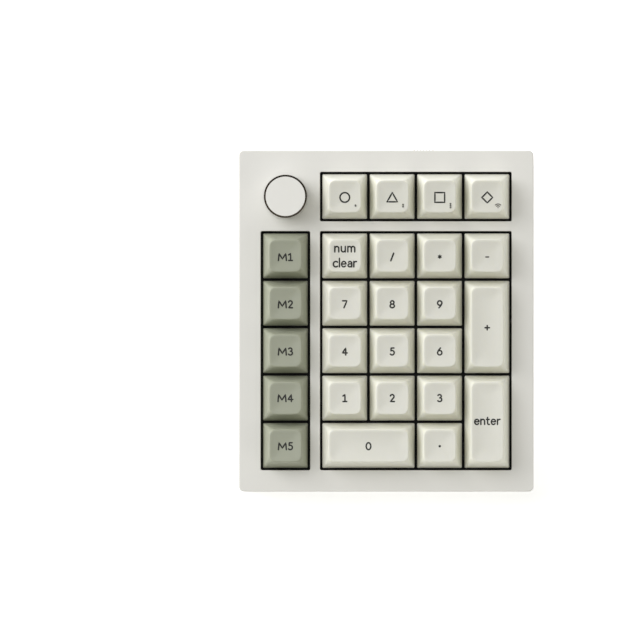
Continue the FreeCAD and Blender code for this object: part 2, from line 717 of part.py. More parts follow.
def switch_plate():
    """The plate that the switches clip into."""
    plate = slab(CAVITY_WIDTH - 2 * PLATE_EDGE_GAP, CAVITY_DEPTH - 2 * PLATE_EDGE_GAP, -PLATE_THICKNESS, 0,
                 CAVITY_CORNER)
    low = -PLATE_THICKNESS - 1
    square = centred_block(SWITCH_CUTOUT, SWITCH_CUTOUT, low, 1)
    tools = at_switches(square) + [moved(square, KNOB_X, KNOB_Y)]
    tools += at_stabilisers(stab_cutout(low, 1, STAB_PLAY)) + boss_notches(low, 1)
    return cut(plate, tools)


def plate_foam():
    """Foam between the plate and the board, open round switches, stabilisers and wires."""
    top = -PLATE_THICKNESS - FOAM_GAP
    bottom = BOARD_TOP + FOAM_GAP
    foam = slab(BOARD_WIDTH, BOARD_DEPTH, bottom, top, CAVITY_CORNER)
    size = SWITCH_CUTOUT + 2 * FOAM_CUTOUT_PLAY
    square = centred_block(size, size, bottom - 1, top + 1)
    play = FOAM_CUTOUT_PLAY
    housing = block(-STAB_HALF_WIDE - play, STAB_HALF_WIDE + play, STAB_FOOT_FRONT - play,
                    STAB_BACK + play, bottom - 1, top + 1)
    channel = block(-STAB_SPACING, STAB_SPACING, size / 2 - 0.1, STAB_BACK + play, bottom - 1, top + 1)
    tools = at_switches(square) + [moved(square, KNOB_X, KNOB_Y)]
    tools += at_stabilisers(housing) + at_wires(channel) + boss_notches(bottom - 1, top + 1)
    return cut(foam, tools)


def case_foam():
    """Foam on the case's floor, open over the battery's lead, the ribbon and the ports."""
    bottom = CASE_FLOOR + FOAM_GAP
    foam = slab(BOARD_WIDTH, BOARD_DEPTH, bottom, CASE_FOAM_TOP, CAVITY_CORNER)
    left = PORT_BOARD_LEFT - PORT_POCKET_MARGIN
    right = PORT_BOARD_RIGHT + PORT_POCKET_MARGIN
    front = RIBBON_BOARD_BACK - RIBBON_SOCKET_DEEP - 1
    opening = block(left, right, front, BOARD_DEPTH, bottom - 1, CASE_FOAM_TOP + 1)
    return cut(foam, [opening] + boss_notches(bottom - 1, CASE_FOAM_TOP + 1))


def circuit_board():
    """The main board, with the holes of every switch, light, stabiliser screw and the encoder."""
    board = slab(BOARD_WIDTH, BOARD_DEPTH, BOARD_BOTTOM, BOARD_TOP, CAVITY_CORNER)
    low = BOARD_BOTTOM - 1
    high = BOARD_TOP + 1
    tools = at_switches(rod(CENTRE_POST_RADIUS + CENTRE_POST_PLAY, low, high))
    for x, y in (CONTACT_PIN_ONE, CONTACT_PIN_TWO):
        tools += at_switches(rod(BOARD_PIN_HOLE, low, high, x, y))
    light_wide = LIGHT_WIDE + 2 * LIGHT_PLAY
    light_deep = LIGHT_DEEP + 2 * LIGHT_PLAY
    light = centred_block(light_wide, light_deep, low, high, 0, -LIGHT_BACK)
    tools += at_switches(light)
    tools += at_stabilisers(rod(STAB_SCREW_RADIUS + STAB_SCREW_PLAY, low, high, 0, STAB_SCREW_FRONT))
    tools += [rod(ENCODER_PIN_RADIUS + ENCODER_PIN_PLAY, low, high, x, y) for x, y in encoder_pins()]
    return cut(board, tools + boss_notches(low, high))


# ---- Switches ----
def switch_bottom_housing():
    """The milky lower housing: flange on the plate, body through it, centre post through the board."""
    width = SWITCH_CUTOUT - HOUSING_PLATE_PLAY
    body = centred_block(width, width, BOARD_TOP, 0)
    flange = centred_block(FLANGE_SIZE, FLANGE_SIZE, 0, FLANGE_THICKNESS)
    post = rod(CENTRE_POST_RADIUS, CENTRE_POST_BOTTOM, BOARD_TOP + HOUSING_FLOOR)
    outside = join([body, flange, post])
    floor = BOARD_TOP + HOUSING_FLOOR
    cavity = centred_block(HOUSING_CAVITY, HOUSING_CAVITY, floor, FLANGE_THICKNESS + 1)
    tube = rod(GUIDE_TUBE_RADIUS, floor - 0.5, GUIDE_TUBE_TOP)
    shell = join([outside.cut(cavity), tube])
    bore = rod(GUIDE_TUBE_BORE, CENTRE_POST_BORE_BOTTOM, GUIDE_TUBE_TOP + 1)
    slots = []
    for x, y in (CONTACT_PIN_ONE, CONTACT_PIN_TWO):
        slots.append(centred_block(CONTACT_WIDTH + 2 * CONTACT_PLAY, CONTACT_THICKNESS + 2 * CONTACT_PLAY,
                                   BOARD_TOP - 1, floor + CONTACT_SLOT_RISE, x, y))
    return cut(shell, [bore] + slots)


def switch_top_housing():
    """The clear upper housing, open at the top for the stem."""
    base = rounded_outline(HOUSING_BASE, HOUSING_BASE, HOUSING_CORNER, FLANGE_THICKNESS)
    crown = rounded_outline(HOUSING_TOP_WIDE, HOUSING_TOP_DEEP, HOUSING_CORNER, HOUSING_TOP)
    roof = HOUSING_TOP - HOUSING_ROOF
    inner_base = rounded_outline(HOUSING_BASE - 2 * HOUSING_WALL, HOUSING_BASE - 2 * HOUSING_WALL,
                                 HOUSING_INNER_CORNER, FLANGE_THICKNESS)
    inner_crown = rounded_outline(SKIRT_WIDE + 2 * SKIRT_PLAY, SKIRT_DEEP + 2 * SKIRT_PLAY,
                                  HOUSING_INNER_CORNER, roof)
    opening = centred_block(SLIDER_WIDE + 2 * SLIDER_PLAY, SLIDER_DEEP + 2 * SLIDER_PLAY, roof - 1,
                            HOUSING_TOP + 1)
    return cut(loft(base, crown), [loft(inner_base, inner_crown), opening])


def cross(z0, z1, play=0.0):
    """The cross that joins a stem to its cap."""
    length = CROSS_LENGTH + 2 * play
    width = CROSS_WIDTH + 2 * play
    return join([centred_block(length, width, z0, z1), centred_block(width, length, z0, z1)])


def switch_stem():
    """The sliding stem: cross, slider, skirt and guide pin."""
    return join([
        cross(STEM_SHOULDER, STEM_TOP),
        centred_block(SLIDER_WIDE, SLIDER_DEEP, SKIRT_TOP, STEM_SHOULDER),
        centred_block(SKIRT_WIDE, SKIRT_DEEP, SKIRT_BOTTOM, SKIRT_TOP),
        rod(GUIDE_PIN_RADIUS, GUIDE_PIN_BOTTOM, SKIRT_BOTTOM),
    ])


def switch_spring():
    """The coil spring as a plain sleeve of its own outer and inner size."""
    bottom = BOARD_TOP + HOUSING_FLOOR
    outer = rod(SPRING_INNER_RADIUS + SPRING_WIRE, bottom, SKIRT_BOTTOM)
    return outer.cut(rod(SPRING_INNER_RADIUS, bottom - 1, SKIRT_BOTTOM + 1))


def switch_contacts():
    """The two copper contacts: a straight leaf, and a leaf set back from its pin on a foot."""
    half = CONTACT_WIDTH / 2
    thin = CONTACT_THICKNESS
    foot_low = BOARD_TOP + HOUSING_FLOOR + CONTACT_PLAY
    x1, y1 = CONTACT_PIN_ONE
    x2, y2 = CONTACT_PIN_TWO
    leaf_y = y2 - thin
    pin = block(x1 - half, x1 + half, y1 - thin / 2, y1 + thin / 2, CONTACT_BOTTOM, foot_low + thin)
    foot = block(x1 - half, x1 + half, y1 - thin / 2, leaf_y, foot_low, foot_low + thin)
    leaf = block(x1 - half, x1 + half, leaf_y - thin, leaf_y, foot_low, CONTACT_TOP)
    straight = centred_block(CONTACT_WIDTH, thin, CONTACT_BOTTOM, CONTACT_TOP, x2, y2)
    return [join([pin, foot, leaf]), straight]


def hot_swap_socket():
    """The socket under the board that grips both pins of a switch."""
    x1, y1 = CONTACT_PIN_ONE
    x2, y2 = CONTACT_PIN_TWO
    top = BOARD_BOTTOM
    body = join([
        centred_block(SOCKET_PAD_ONE, SOCKET_PAD_ONE, SOCKET_BOTTOM, top, x1, y1),
        centred_block(SOCKET_PAD_TWO, SOCKET_PAD_TWO, SOCKET_BOTTOM, top, x2, y2),
        block(x1, x2, y1 + SOCKET_BRIDGE_FRONT, y2 - SOCKET_BRIDGE_BACK, SOCKET_BOTTOM, top),
    ])
    holes = [rod(BOARD_PIN_HOLE, SOCKET_BOTTOM - 1, top + 1, x, y) for x, y in (CONTACT_PIN_ONE,
                                                                               CONTACT_PIN_TWO)]
    return cut(body, holes)


def key_light():
    """A light set in the board from below, on two solder wings."""
    body = centred_block(LIGHT_WIDE, LIGHT_DEEP, LIGHT_BOTTOM, LIGHT_TOP, 0, -LIGHT_BACK)
    wings = centred_block(LIGHT_WIDE + 2 * LIGHT_WING, LIGHT_DEEP - 2 * LIGHT_WING_INSET,
                          LIGHT_BOTTOM, BOARD_BOTTOM, 0, -LIGHT_BACK)
    return join([body, wings])


# ---- Keys ----
def keycap(place):
    """A moulded cap: sloping hollow walls, dished top, and a socket for each stem."""
    foot_wide = place["wide"] * UNIT - CAP_GAP
    foot_deep = place["deep"] * UNIT - CAP_GAP
    height = CAP_HEIGHTS[place["row"]]
    tilt = Rotation(Vector(1, 0, 0), CAP_TILTS[place["row"]])
    top_wide = foot_wide - 2 * CAP_TOP_INSET
    top_deep = foot_deep - 2 * CAP_TOP_INSET
    middle = Vector(0, 0, CAP_BOTTOM + height)

    def top_outline(width, depth, radius, drop):
        outline = rounded_outline(width, depth, radius)
        outline.Placement = Placement(middle - Vector(0, 0, drop), tilt)
        return outline

    outside = loft(rounded_outline(foot_wide, foot_deep, CAP_FOOT_CORNER, CAP_BOTTOM),
                   top_outline(top_wide, top_deep, CAP_TOP_CORNER, 0))
    roof = CAP_DISH_DEPTH + CAP_ROOF
    thin = 2 * CAP_WALL
    hollow = loft(rounded_outline(foot_wide - thin, foot_deep - thin, CAP_INNER_CORNER, CAP_BOTTOM),
                  top_outline(top_wide - thin, top_deep - thin, CAP_TOP_CORNER - CAP_WALL, roof))
    stations = [(0, 0)]
    turn = stab_turn(place)
    if turn is not None:
        stations += insert_places(turn)
    socket_top = CAP_BOTTOM + height - roof + CAP_SOCKET_IN_ROOF
    sockets = [rod(CAP_SOCKET_RADIUS, CAP_SOCKET_BOTTOM, socket_top, x, y) for x, y in stations]
    slot = cross(CAP_SOCKET_BOTTOM - 1, STEM_TOP + CAP_SLOT_OVER_STEM, CROSS_PLAY)
    slots = [moved(slot, x, y) for x, y in stations]
    dish = dish_tool(place, middle, tilt)
    shell = join([outside.cut(hollow)] + sockets)
    return cut(shell, slots + [dish])


def dish_tool(place, middle, tilt):
    """The round cutter of a cap's dish: a ball, or a rod with ball ends along a two-unit cap."""
    lift = CAP_DISH_RADIUS - CAP_DISH_DEPTH
    centre = middle + tilt.multVec(Vector(0, 0, lift))
    if place["wide"] == 1 and place["deep"] == 1:
        return Part.makeSphere(CAP_DISH_RADIUS, centre)
    along = Vector(1, 0, 0) if place["wide"] == 2 else tilt.multVec(Vector(0, 1, 0))
    start = centre - along * UNIT * 2
    return Part.makeCylinder(CAP_DISH_RADIUS, UNIT * 4, start, along)


def insert_places(turn):
    """Where a two-unit key's inserts stand about its centre."""
    spin = Rotation(Vector(0, 0, 1), turn)
    ends = [spin.multVec(Vector(side, 0, 0)) for side in (-STAB_SPACING, STAB_SPACING)]
    return [(end.x, end.y) for end in ends]


def stab_insert():
    """The sliding insert: a cross for the cap and a notch for the wire's tip."""
    body = centred_block(2 * INSERT_HALF_WIDE, 2 * INSERT_HALF_DEEP, INSERT_BOTTOM, STEM_SHOULDER)
    notch_front = wire_tip_back() - WIRE_RADIUS - INSERT_NOTCH_PLAY
    notch = block(-INSERT_HALF_WIDE - 1, INSERT_HALF_WIDE + 1, notch_front, INSERT_HALF_DEEP + 1,
                  WIRE_TIP_HEIGHT - INSERT_NOTCH_HALF, WIRE_TIP_HEIGHT + INSERT_NOTCH_HALF)
    return join([body, cross(STEM_SHOULDER - 0.1, STEM_TOP)]).cut(notch)


def key(place):
    """The cap, the stem and, on a two-unit key, the two inserts."""
    pieces = [keycap(place), switch_stem()]
    turn = stab_turn(place)
    if turn is not None:
        pieces += [moved(stab_insert(), x, y, turn) for x, y in insert_places(turn)]
    return [moved(piece, place["x"], place["y"]) for piece in pieces]


# ---- Stabilisers ----
def wire_rise():
    """How far the wire's tip stands above its pivot at rest."""
    return WIRE_TIP_HEIGHT - WIRE_PIVOT_HEIGHT


def wire_tip_back():
    """Y of the wire's tip at rest, from the key's centre."""
    return WIRE_PIVOT_BACK - math.sqrt(WIRE_ARM ** 2 - wire_rise() ** 2)


def stab_wire():
    """The bent wire that keeps the two ends of a long key level."""
    bar = Part.makeCylinder(WIRE_RADIUS, 2 * STAB_SPACING,
                            Vector(-STAB_SPACING, WIRE_PIVOT_BACK, WIRE_PIVOT_HEIGHT), Vector(1, 0, 0))
    pieces = [bar]
    for side in (-STAB_SPACING, STAB_SPACING):
        corner = Vector(side, WIRE_PIVOT_BACK, WIRE_PIVOT_HEIGHT)
        tip = Vector(side, wire_tip_back(), WIRE_TIP_HEIGHT)
        pieces.append(Part.makeSphere(WIRE_RADIUS, corner))
        pieces.append(Part.makeCylinder(WIRE_RADIUS, WIRE_ARM, corner, tip - corner))
    return join(pieces)


def stab_housing(side):
    """One housing: a tower for the insert and a tail that bears the wire on its inner side."""
    wide = STAB_HALF_WIDE
    body = join([
        block(-wide, wide, STAB_FRONT, STAB_TOWER_BACK, BOARD_TOP, STAB_TOWER_TOP),
        block(-wide, wide, STAB_TOWER_BACK, STAB_BACK, BOARD_TOP, STAB_TAIL_TOP),
        block(-wide, wide, STAB_FOOT_FRONT, STAB_FRONT, BOARD_TOP, STAB_FOOT_TOP),
    ])
    room = centred_block(2 * (INSERT_HALF_WIDE + INSERT_PLAY), 2 * (INSERT_HALF_DEEP + INSERT_PLAY),
                         BOARD_TOP - 1, STAB_TOWER_TOP + 1)
    slot = block(-STAB_SLOT_HALF, STAB_SLOT_HALF, 0, STAB_BACK + 1, BOARD_TOP - 1, STAB_SLOT_TOP)
    bearing = Part.makeCylinder(WIRE_RADIUS + WIRE_PLAY, wide + 1,
                                Vector(0, WIRE_PIVOT_BACK, WIRE_PIVOT_HEIGHT), Vector(-side, 0, 0))
    screw_hole = rod(STAB_SCREW_RADIUS + SCREW_THREAD_PLAY, BOARD_TOP - 1,
                     STAB_SCREW_TOP + STAB_SCREW_HOLE_EXTRA, 0, STAB_SCREW_FRONT)
    return cut(body, [room, slot, bearing, screw_hole])


def stabiliser_housings():
    """Two housings, made as a pair, at every two-unit key."""
    housings = []
    for side in (-1, 1):
        housings += at_wires(moved(stab_housing(side), side * STAB_SPACING, 0))
    return housings


def stab_screw():
    """A small screw from under the board into a housing's foot."""
    head = rod(STAB_SCREW_HEAD, BOARD_BOTTOM - STAB_SCREW_HEAD_HEIGHT, BOARD_BOTTOM, 0, STAB_SCREW_FRONT)
    return join([head, rod(STAB_SCREW_RADIUS, BOARD_BOTTOM, STAB_SCREW_TOP, 0, STAB_SCREW_FRONT)])


# ---- Knob and encoder ----
def encoder_pins():
    """Centres of the encoder's five pins."""
    side = ENCODER_WIDE / 2 - ENCODER_PIN_INSET
    front = ENCODER_PIN_INSET - ENCODER_DEEP / 2
    step = ENCODER_PIN_SPACING
    local = [(-side, 0), (side, 0), (-step, front), (0, front), (step, front)]
    return [(KNOB_X + x, KNOB_Y + y) for x, y in local]


def flatted_rod(radius, flat, z0, z1):
    """A rod with a flat on its +X side."""
    return rod(radius, z0, z1).cut(block(flat, radius + 1, -radius - 1, radius + 1, z0 - 1, z1 + 1))


def encoder_body():
    """The encoder's case, with the bushing that guides the shaft and the room for the rotor."""
    case = centred_block(ENCODER_WIDE, ENCODER_DEEP, BOARD_TOP, ENCODER_TOP)
    bushing = rod(BUSHING_RADIUS, ENCODER_TOP - ENCODER_FLOOR, BUSHING_TOP)
    room = rod(ROTOR_RADIUS + ROTOR_PLAY, BOARD_TOP + ENCODER_FLOOR, ROTOR_CAVITY_TOP)
    bore = rod(SHAFT_RADIUS + SHAFT_PLAY, ROTOR_CAVITY_TOP - 1, BUSHING_TOP + 1)
    body = moved(cut(join([case, bushing]), [room, bore]), KNOB_X, KNOB_Y)
    pins = [rod(ENCODER_PIN_RADIUS, BOARD_BOTTOM - ENCODER_PIN_BELOW, BOARD_TOP + ENCODER_FLOOR / 2, x, y)
            for x, y in encoder_pins()]
    return join([body] + pins)


def encoder_rotor():
    """The wiper disc that turns with the shaft and lets it slide."""
    disc = rod(ROTOR_RADIUS, ROTOR_BOTTOM, ROTOR_BOTTOM + ROTOR_THICKNESS)
    bore = flatted_rod(SHAFT_RADIUS + SHAFT_PLAY, SHAFT_FLAT + SHAFT_PLAY, ROTOR_BOTTOM - 1,
                       ROTOR_BOTTOM + ROTOR_THICKNESS + 1)
    return moved(disc.cut(bore), KNOB_X, KNOB_Y)


def encoder_shaft():
    """The shaft, flatted where the rotor and the knob hold it."""
    top = KNOB_BOTTOM + KNOB_HEIGHT - KNOB_ROOF - SHAFT_TOP_GAP
    shaft = join([
        flatted_rod(SHAFT_RADIUS, SHAFT_FLAT, SHAFT_BOTTOM, ROTOR_CAVITY_TOP),
        rod(SHAFT_RADIUS, ROTOR_CAVITY_TOP, SHAFT_FLAT_BOTTOM),
        flatted_rod(SHAFT_RADIUS, SHAFT_FLAT, SHAFT_FLAT_BOTTOM, top),
    ])
    return moved(shaft, KNOB_X, KNOB_Y)


def knob():
    """The turned knob: chamfered top, hollow underside, flatted bore."""
    top = KNOB_BOTTOM + KNOB_HEIGHT
    body = rod(KNOB_RADIUS, KNOB_BOTTOM, top)
    body = body.makeChamfer(KNOB_CHAMFER, level_edges(body, top))
    recess = rod(KNOB_RECESS_RADIUS, KNOB_BOTTOM - 1, KNOB_BOTTOM + KNOB_RECESS_HEIGHT)
    bore = flatted_rod(SHAFT_RADIUS + SHAFT_PLAY, SHAFT_FLAT + SHAFT_PLAY, KNOB_BOTTOM - 1, top - KNOB_ROOF)
    return moved(cut(body, [recess, bore]), KNOB_X, KNOB_Y)


# ---- Ports ----
def port_board():
    """The small board at the back that carries the socket and the slide switch."""
    low = PORT_BOARD_TOP - PORT_BOARD_THICKNESS
    board = block(PORT_BOARD_LEFT, PORT_BOARD_RIGHT, PORT_BOARD_FRONT, PORT_BOARD_BACK, low, PORT_BOARD_TOP)
    hole = rod(STAB_SCREW_RADIUS + BOARD_SCREW_PLAY, low - 1, 0)
    return cut(board, [moved(hole, x, y) for x, y in port_screw_places()])


def usb_receptacle():
    """The USB-C receptacle: a seamed shell, closed behind, with a tongue."""
    mouth = CAVITY_DEPTH / 2 + USB_MOUTH_IN_WALL
    shell = slab(USB_WIDE, USB_HIGH, 0, USB_LENGTH, USB_HIGH / 2 - NEARLY_ROUND)
    wide = USB_WIDE - 2 * USB_SHELL
    high = USB_HIGH - 2 * USB_SHELL
    hollow = slab(wide, high, USB_BACK_WALL, USB_LENGTH + 1, high / 2 - NEARLY_ROUND)
    tongue = slab(USB_TONGUE_WIDE, USB_TONGUE_HIGH, USB_BACK_WALL / 2, USB_LENGTH - USB_TONGUE_SET_BACK,
                  USB_TONGUE_CORNER)
    return facing_back(join([shell.cut(hollow), tongue]), USB_X, mouth - USB_LENGTH, PORT_HEIGHT)


def switch_body_back():
    """Y of the slide switch's back face."""
    return PORT_BOARD_BACK - SWITCH_BODY_BACK_GAP


def slide_switch_body():
    """The slide switch on the port board, with a slot for the actuator's travel."""
    back = switch_body_back()
    body = block(BUTTON_X - SWITCH_BODY_WIDE / 2, BUTTON_X + SWITCH_BODY_WIDE / 2, back - SWITCH_BODY_DEEP,
                 back, PORT_BOARD_TOP, PORT_BOARD_TOP + SWITCH_BODY_HIGH)
    half = ACTUATOR_WIDE / 2 + BUTTON_TRAVEL + BUTTON_PLAY
    tall = ACTUATOR_HIGH / 2 + ACTUATOR_PLAY
    slot = block(BUTTON_X - half, BUTTON_X + half, back - ACTUATOR_SLOT_DEPTH, back + 1, PORT_HEIGHT - tall,
                 PORT_HEIGHT + tall)
    return body.cut(slot)


def slide_switch_button():
    """The ridged button that stands out of the back wall, with its actuator."""
    front = CAVITY_DEPTH / 2 - BUTTON_WALL_GAP
    back = CASE_DEPTH / 2 + BUTTON_PROUD
    cap = block(BUTTON_X - BUTTON_WIDE / 2, BUTTON_X + BUTTON_WIDE / 2, front, back,
                PORT_HEIGHT - BUTTON_HIGH / 2, PORT_HEIGHT + BUTTON_HIGH / 2)
    actuator = centred_block(ACTUATOR_WIDE, ACTUATOR_LENGTH, PORT_HEIGHT - ACTUATOR_HIGH / 2,
                             PORT_HEIGHT + ACTUATOR_HIGH / 2, BUTTON_X,
                             front - ACTUATOR_LENGTH / 2 + BUTTON_WALL_GAP)
    pitch = BUTTON_WIDE / BUTTON_RIDGES
    grooves = []
    for place in range(BUTTON_RIDGES - 1):
        x = BUTTON_X - BUTTON_WIDE / 2 + (place + 1) * pitch
        grooves.append(block(x - pitch / 4, x + pitch / 4, back - BUTTON_GROOVE, back + 1,
                             PORT_HEIGHT - BUTTON_HIGH, PORT_HEIGHT + BUTTON_HIGH))
    return cut(join([cap, actuator]), grooves)


def board_screws():
    """The two screws of the port board."""
    low = PORT_BOARD_TOP - BOARD_SCREW_DEPTH
    high = PORT_BOARD_TOP + STAB_SCREW_HEAD_HEIGHT
    screw = join([rod(STAB_SCREW_RADIUS, low, PORT_BOARD_TOP), rod(STAB_SCREW_HEAD, PORT_BOARD_TOP, high)])
    return [moved(screw, x, y) for x, y in port_screw_places()]


# ---- Battery, connectors and chips ----
def battery():
    """The flat pouch cell on the bay's floor."""
    y = BATTERY_FRONT + BATTERY_DEEP / 2
    cell = slab(BATTERY_WIDE, BATTERY_DEEP, BAY_FLOOR, BAY_FLOOR + BATTERY_THICKNESS, BATTERY_ROUND, 0, y)
    return cell


def lead_socket_front():
    """Y of the face that the battery's lead enters."""
    return PORT_BOARD_FRONT + LEAD_SOCKET_INSET


def battery_lead():
    """Two wires from the cell up to the socket on the port board."""
    start = BATTERY_FRONT + BATTERY_DEEP
    end = lead_socket_front()
    wires = []
    for side in (-LEAD_SPACING / 2, LEAD_SPACING / 2):
        points = [
            Vector(side, start, LEAD_HEIGHT_AT_BATTERY),
            Vector(side, start + LEAD_END_RUN, LEAD_HEIGHT_AT_BATTERY),
            Vector(side, end - LEAD_END_RUN, LEAD_HEIGHT_AT_SOCKET),
            Vector(side, end, LEAD_HEIGHT_AT_SOCKET),
        ]
        circle = Part.Wire(Part.makeCircle(LEAD_RADIUS, points[0], Vector(0, 1, 0)))
        wires.append(swept(points, circle))
    return wires


def ribbon_socket_front():
    """Y of the port board's ribbon socket's front face."""
    return PORT_BOARD_FRONT + RIBBON_SOCKET_INSET


def ribbon_heights():
    """Heights of the ribbon in the port board's and in the main board's socket."""
    return PORT_BOARD_TOP + RIBBON_SOCKET_HIGH / 2, BOARD_BOTTOM - RIBBON_SOCKET_HIGH / 2


def ribbon_cable():
    """The flat cable between the boards."""
    low, high = ribbon_heights()
    start = ribbon_socket_front()
    points = [
        Vector(RIBBON_X, start, low),
        Vector(RIBBON_X, start - RIBBON_END_RUN, low),
        Vector(RIBBON_X, RIBBON_BOARD_BACK + RIBBON_END_RUN, high),
        Vector(RIBBON_X, RIBBON_BOARD_BACK, high),
    ]
    half = RIBBON_WIDE / 2
    thin = RIBBON_THICKNESS / 2
    corners = [Vector(RIBBON_X + sx * half, start, low + sz * thin)
               for sx, sz in ((-1, -1), (1, -1), (1, 1), (-1, 1), (-1, -1))]
    return swept(points, Part.makePolygon(corners))


def board_connectors():
    """The battery's socket and the two ribbon sockets."""
    lead_y = lead_socket_front() + LEAD_SOCKET_DEEP / 2
    lead = centred_block(LEAD_SOCKET_WIDE, LEAD_SOCKET_DEEP, PORT_BOARD_TOP,
                         PORT_BOARD_TOP + LEAD_SOCKET_HIGH, 0, lead_y)
    port_y = ribbon_socket_front() + RIBBON_SOCKET_DEEP / 2
    port = centred_block(RIBBON_SOCKET_WIDE, RIBBON_SOCKET_DEEP, PORT_BOARD_TOP,
                         PORT_BOARD_TOP + RIBBON_SOCKET_HIGH, RIBBON_X, port_y)
    main_y = RIBBON_BOARD_BACK - RIBBON_SOCKET_DEEP / 2
    main = centred_block(RIBBON_SOCKET_WIDE, RIBBON_SOCKET_DEEP, BOARD_BOTTOM - RIBBON_SOCKET_HIGH,
                         BOARD_BOTTOM, RIBBON_X, main_y)
    return [lead, port, main]


def board_chips():
    """The controller and the radio module under the main board."""
    chip_low = BOARD_BOTTOM - CHIP_THICKNESS
    radio_low = BOARD_BOTTOM - RADIO_THICKNESS
    controller = centred_block(CHIP_SIZE, CHIP_SIZE, chip_low, BOARD_BOTTOM, CHIP_X, CHIP_Y)
    radio = centred_block(RADIO_WIDE, RADIO_DEEP, radio_low, BOARD_BOTTOM, CHIP_X, RADIO_Y)
    return [controller, radio]


# ---- Writing the pieces ----
def on_desk(shape):
    """A copy tipped back by the typing angle and stood on the desk."""
    copy = shape.copy()
    deck = Placement(Vector(0, DECK_SHIFT, DECK_RAISE), Rotation(Vector(1, 0, 0), TYPING_ANGLE))
    copy.Placement = deck.multiply(copy.Placement)
    return copy


def write(name, shapes):
    """Write one node, a solid or a group of separate solids, already standing on the desk."""
    solids = [solid for shape in shapes for solid in shape.Solids]
    node = solids[0] if len(solids) == 1 else Part.makeCompound(solids)
    node.exportStep("parts/%s.step" % name)
    box = node.BoundBox
    print("%-24s %3d solids  x %.1f..%.1f  y %.1f..%.1f  z %.1f..%.1f  valid %s" % (
        name, len(solids), box.XMin, box.XMax, box.YMin, box.YMax, box.ZMin, box.ZMax, node.isValid()))


def write_deck(name, shapes):
    """Write one node that was drawn in the deck frame."""
    write(name, [on_desk(shape) for shape in shapes])


os.makedirs("parts", exist_ok=True)
write_deck("top_case", [top_case()])
write("bottom_case", [bottom_case()])
write("rubber_feet", rubber_feet())
write_deck("case_screws", case_screws())
write_deck("switch_plate", [switch_plate()])
write_deck("gasket_strips", gasket_strips())
write_deck("plate_foam", [plate_foam()])
write_deck("case_foam", [case_foam()])
write_deck("circuit_board", [circuit_board()])
write_deck("switch_bottom_housings", at_switches(switch_bottom_housing()))
write_deck("switch_top_housings", at_switches(switch_top_housing()))
write_deck("switch_springs", at_switches(switch_spring()))
write_deck("switch_contacts", [copy for piece in switch_contacts() for copy in at_switches(piece)])
write_deck("hot_swap_sockets", at_switches(hot_swap_socket()))
write_deck("key_lights", at_switches(key_light()))
for name, place in KEYS.items():
    write_deck(name, key(place))
write_deck("stabiliser_housings", stabiliser_housings())
write_deck("stabiliser_screws", at_stabilisers(stab_screw()))
for name in ("plus", "enter", "0"):
    place = KEYS["key_" + name]
    wire = moved(stab_wire(), place["x"], place["y"], stab_turn(place))
    write_deck("stabiliser_wire_" + name, [wire])
write_deck("knob", [knob()])
write_deck("encoder_body", [encoder_body()])
write_deck("encoder_rotor", [encoder_rotor()])
write_deck("encoder_shaft", [encoder_shaft()])
write_deck("port_board", [port_board()])
write_deck("usb_receptacle", [usb_receptacle()])
write_deck("slide_switch_body", [slide_switch_body()])
write_deck("slide_switch_button", [slide_switch_button()])
write_deck("board_screws", board_screws())
write_deck("battery", [battery()])
write_deck("battery_lead", battery_lead())
write_deck("ribbon_cable", [ribbon_cable()])
write_deck("board_connectors", board_connectors())
write_deck("board_chips", board_chips())
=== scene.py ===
# %% [markdown]
# # A numeric keypad, dressed around its CAD frame
# The real object is a small desk keypad: a painted aluminium case, twenty-six moulded key caps on plug-in
# switches, and a turned knob. The CAD model already holds every part with its true size and motion. This
# lesson keeps the parts whose shape is right and gives them finishes, and builds finer pieces where a
# closer look pays: the caps, their legends, the stems, the springs and the knob.

# %% Load the fixed frame
import json
import math

import bmesh
import bpy
import numpy as np
from mathutils import Matrix, Vector

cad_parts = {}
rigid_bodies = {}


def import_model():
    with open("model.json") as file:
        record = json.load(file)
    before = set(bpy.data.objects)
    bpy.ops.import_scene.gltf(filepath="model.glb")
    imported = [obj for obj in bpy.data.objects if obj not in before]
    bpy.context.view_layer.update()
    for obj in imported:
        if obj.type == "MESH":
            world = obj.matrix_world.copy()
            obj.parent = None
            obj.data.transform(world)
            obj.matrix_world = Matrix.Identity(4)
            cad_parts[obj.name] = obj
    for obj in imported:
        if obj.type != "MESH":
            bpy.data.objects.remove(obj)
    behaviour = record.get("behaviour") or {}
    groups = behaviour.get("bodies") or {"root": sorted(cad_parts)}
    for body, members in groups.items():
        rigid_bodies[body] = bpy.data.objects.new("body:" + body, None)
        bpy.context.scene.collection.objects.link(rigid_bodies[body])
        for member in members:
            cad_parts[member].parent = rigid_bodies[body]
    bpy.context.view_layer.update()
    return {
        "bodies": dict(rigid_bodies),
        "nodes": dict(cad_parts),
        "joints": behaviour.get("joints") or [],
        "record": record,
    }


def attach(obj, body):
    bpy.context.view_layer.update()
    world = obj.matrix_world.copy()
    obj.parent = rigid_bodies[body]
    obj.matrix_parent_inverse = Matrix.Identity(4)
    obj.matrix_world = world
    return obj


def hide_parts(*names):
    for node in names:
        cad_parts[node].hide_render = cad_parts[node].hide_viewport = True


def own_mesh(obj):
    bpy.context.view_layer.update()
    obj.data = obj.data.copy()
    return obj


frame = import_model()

# %% [markdown]
# ## Working in the deck's own directions
# The keys stand on a deck that slopes up towards the back. It is far easier to shape a cap when "up" means
# square to that deck. One could turn every object, but a finished piece has to sit unturned at the origin,
# so the turn goes into the points instead. The deck's directions are read from the way a key travels.

# %% Deck directions and millimetres
MM = 0.001
key_joint = next(joint for joint in frame["joints"] if joint["name"] == "key_1_press")
NORMAL = -Vector(key_joint["axis"]).normalized()
ACROSS = Vector((1, 0, 0))
BACK = NORMAL.cross(ACROSS)
DECK_TURN = Matrix((ACROSS, BACK, NORMAL)).transposed()
TURN = np.array(DECK_TURN)


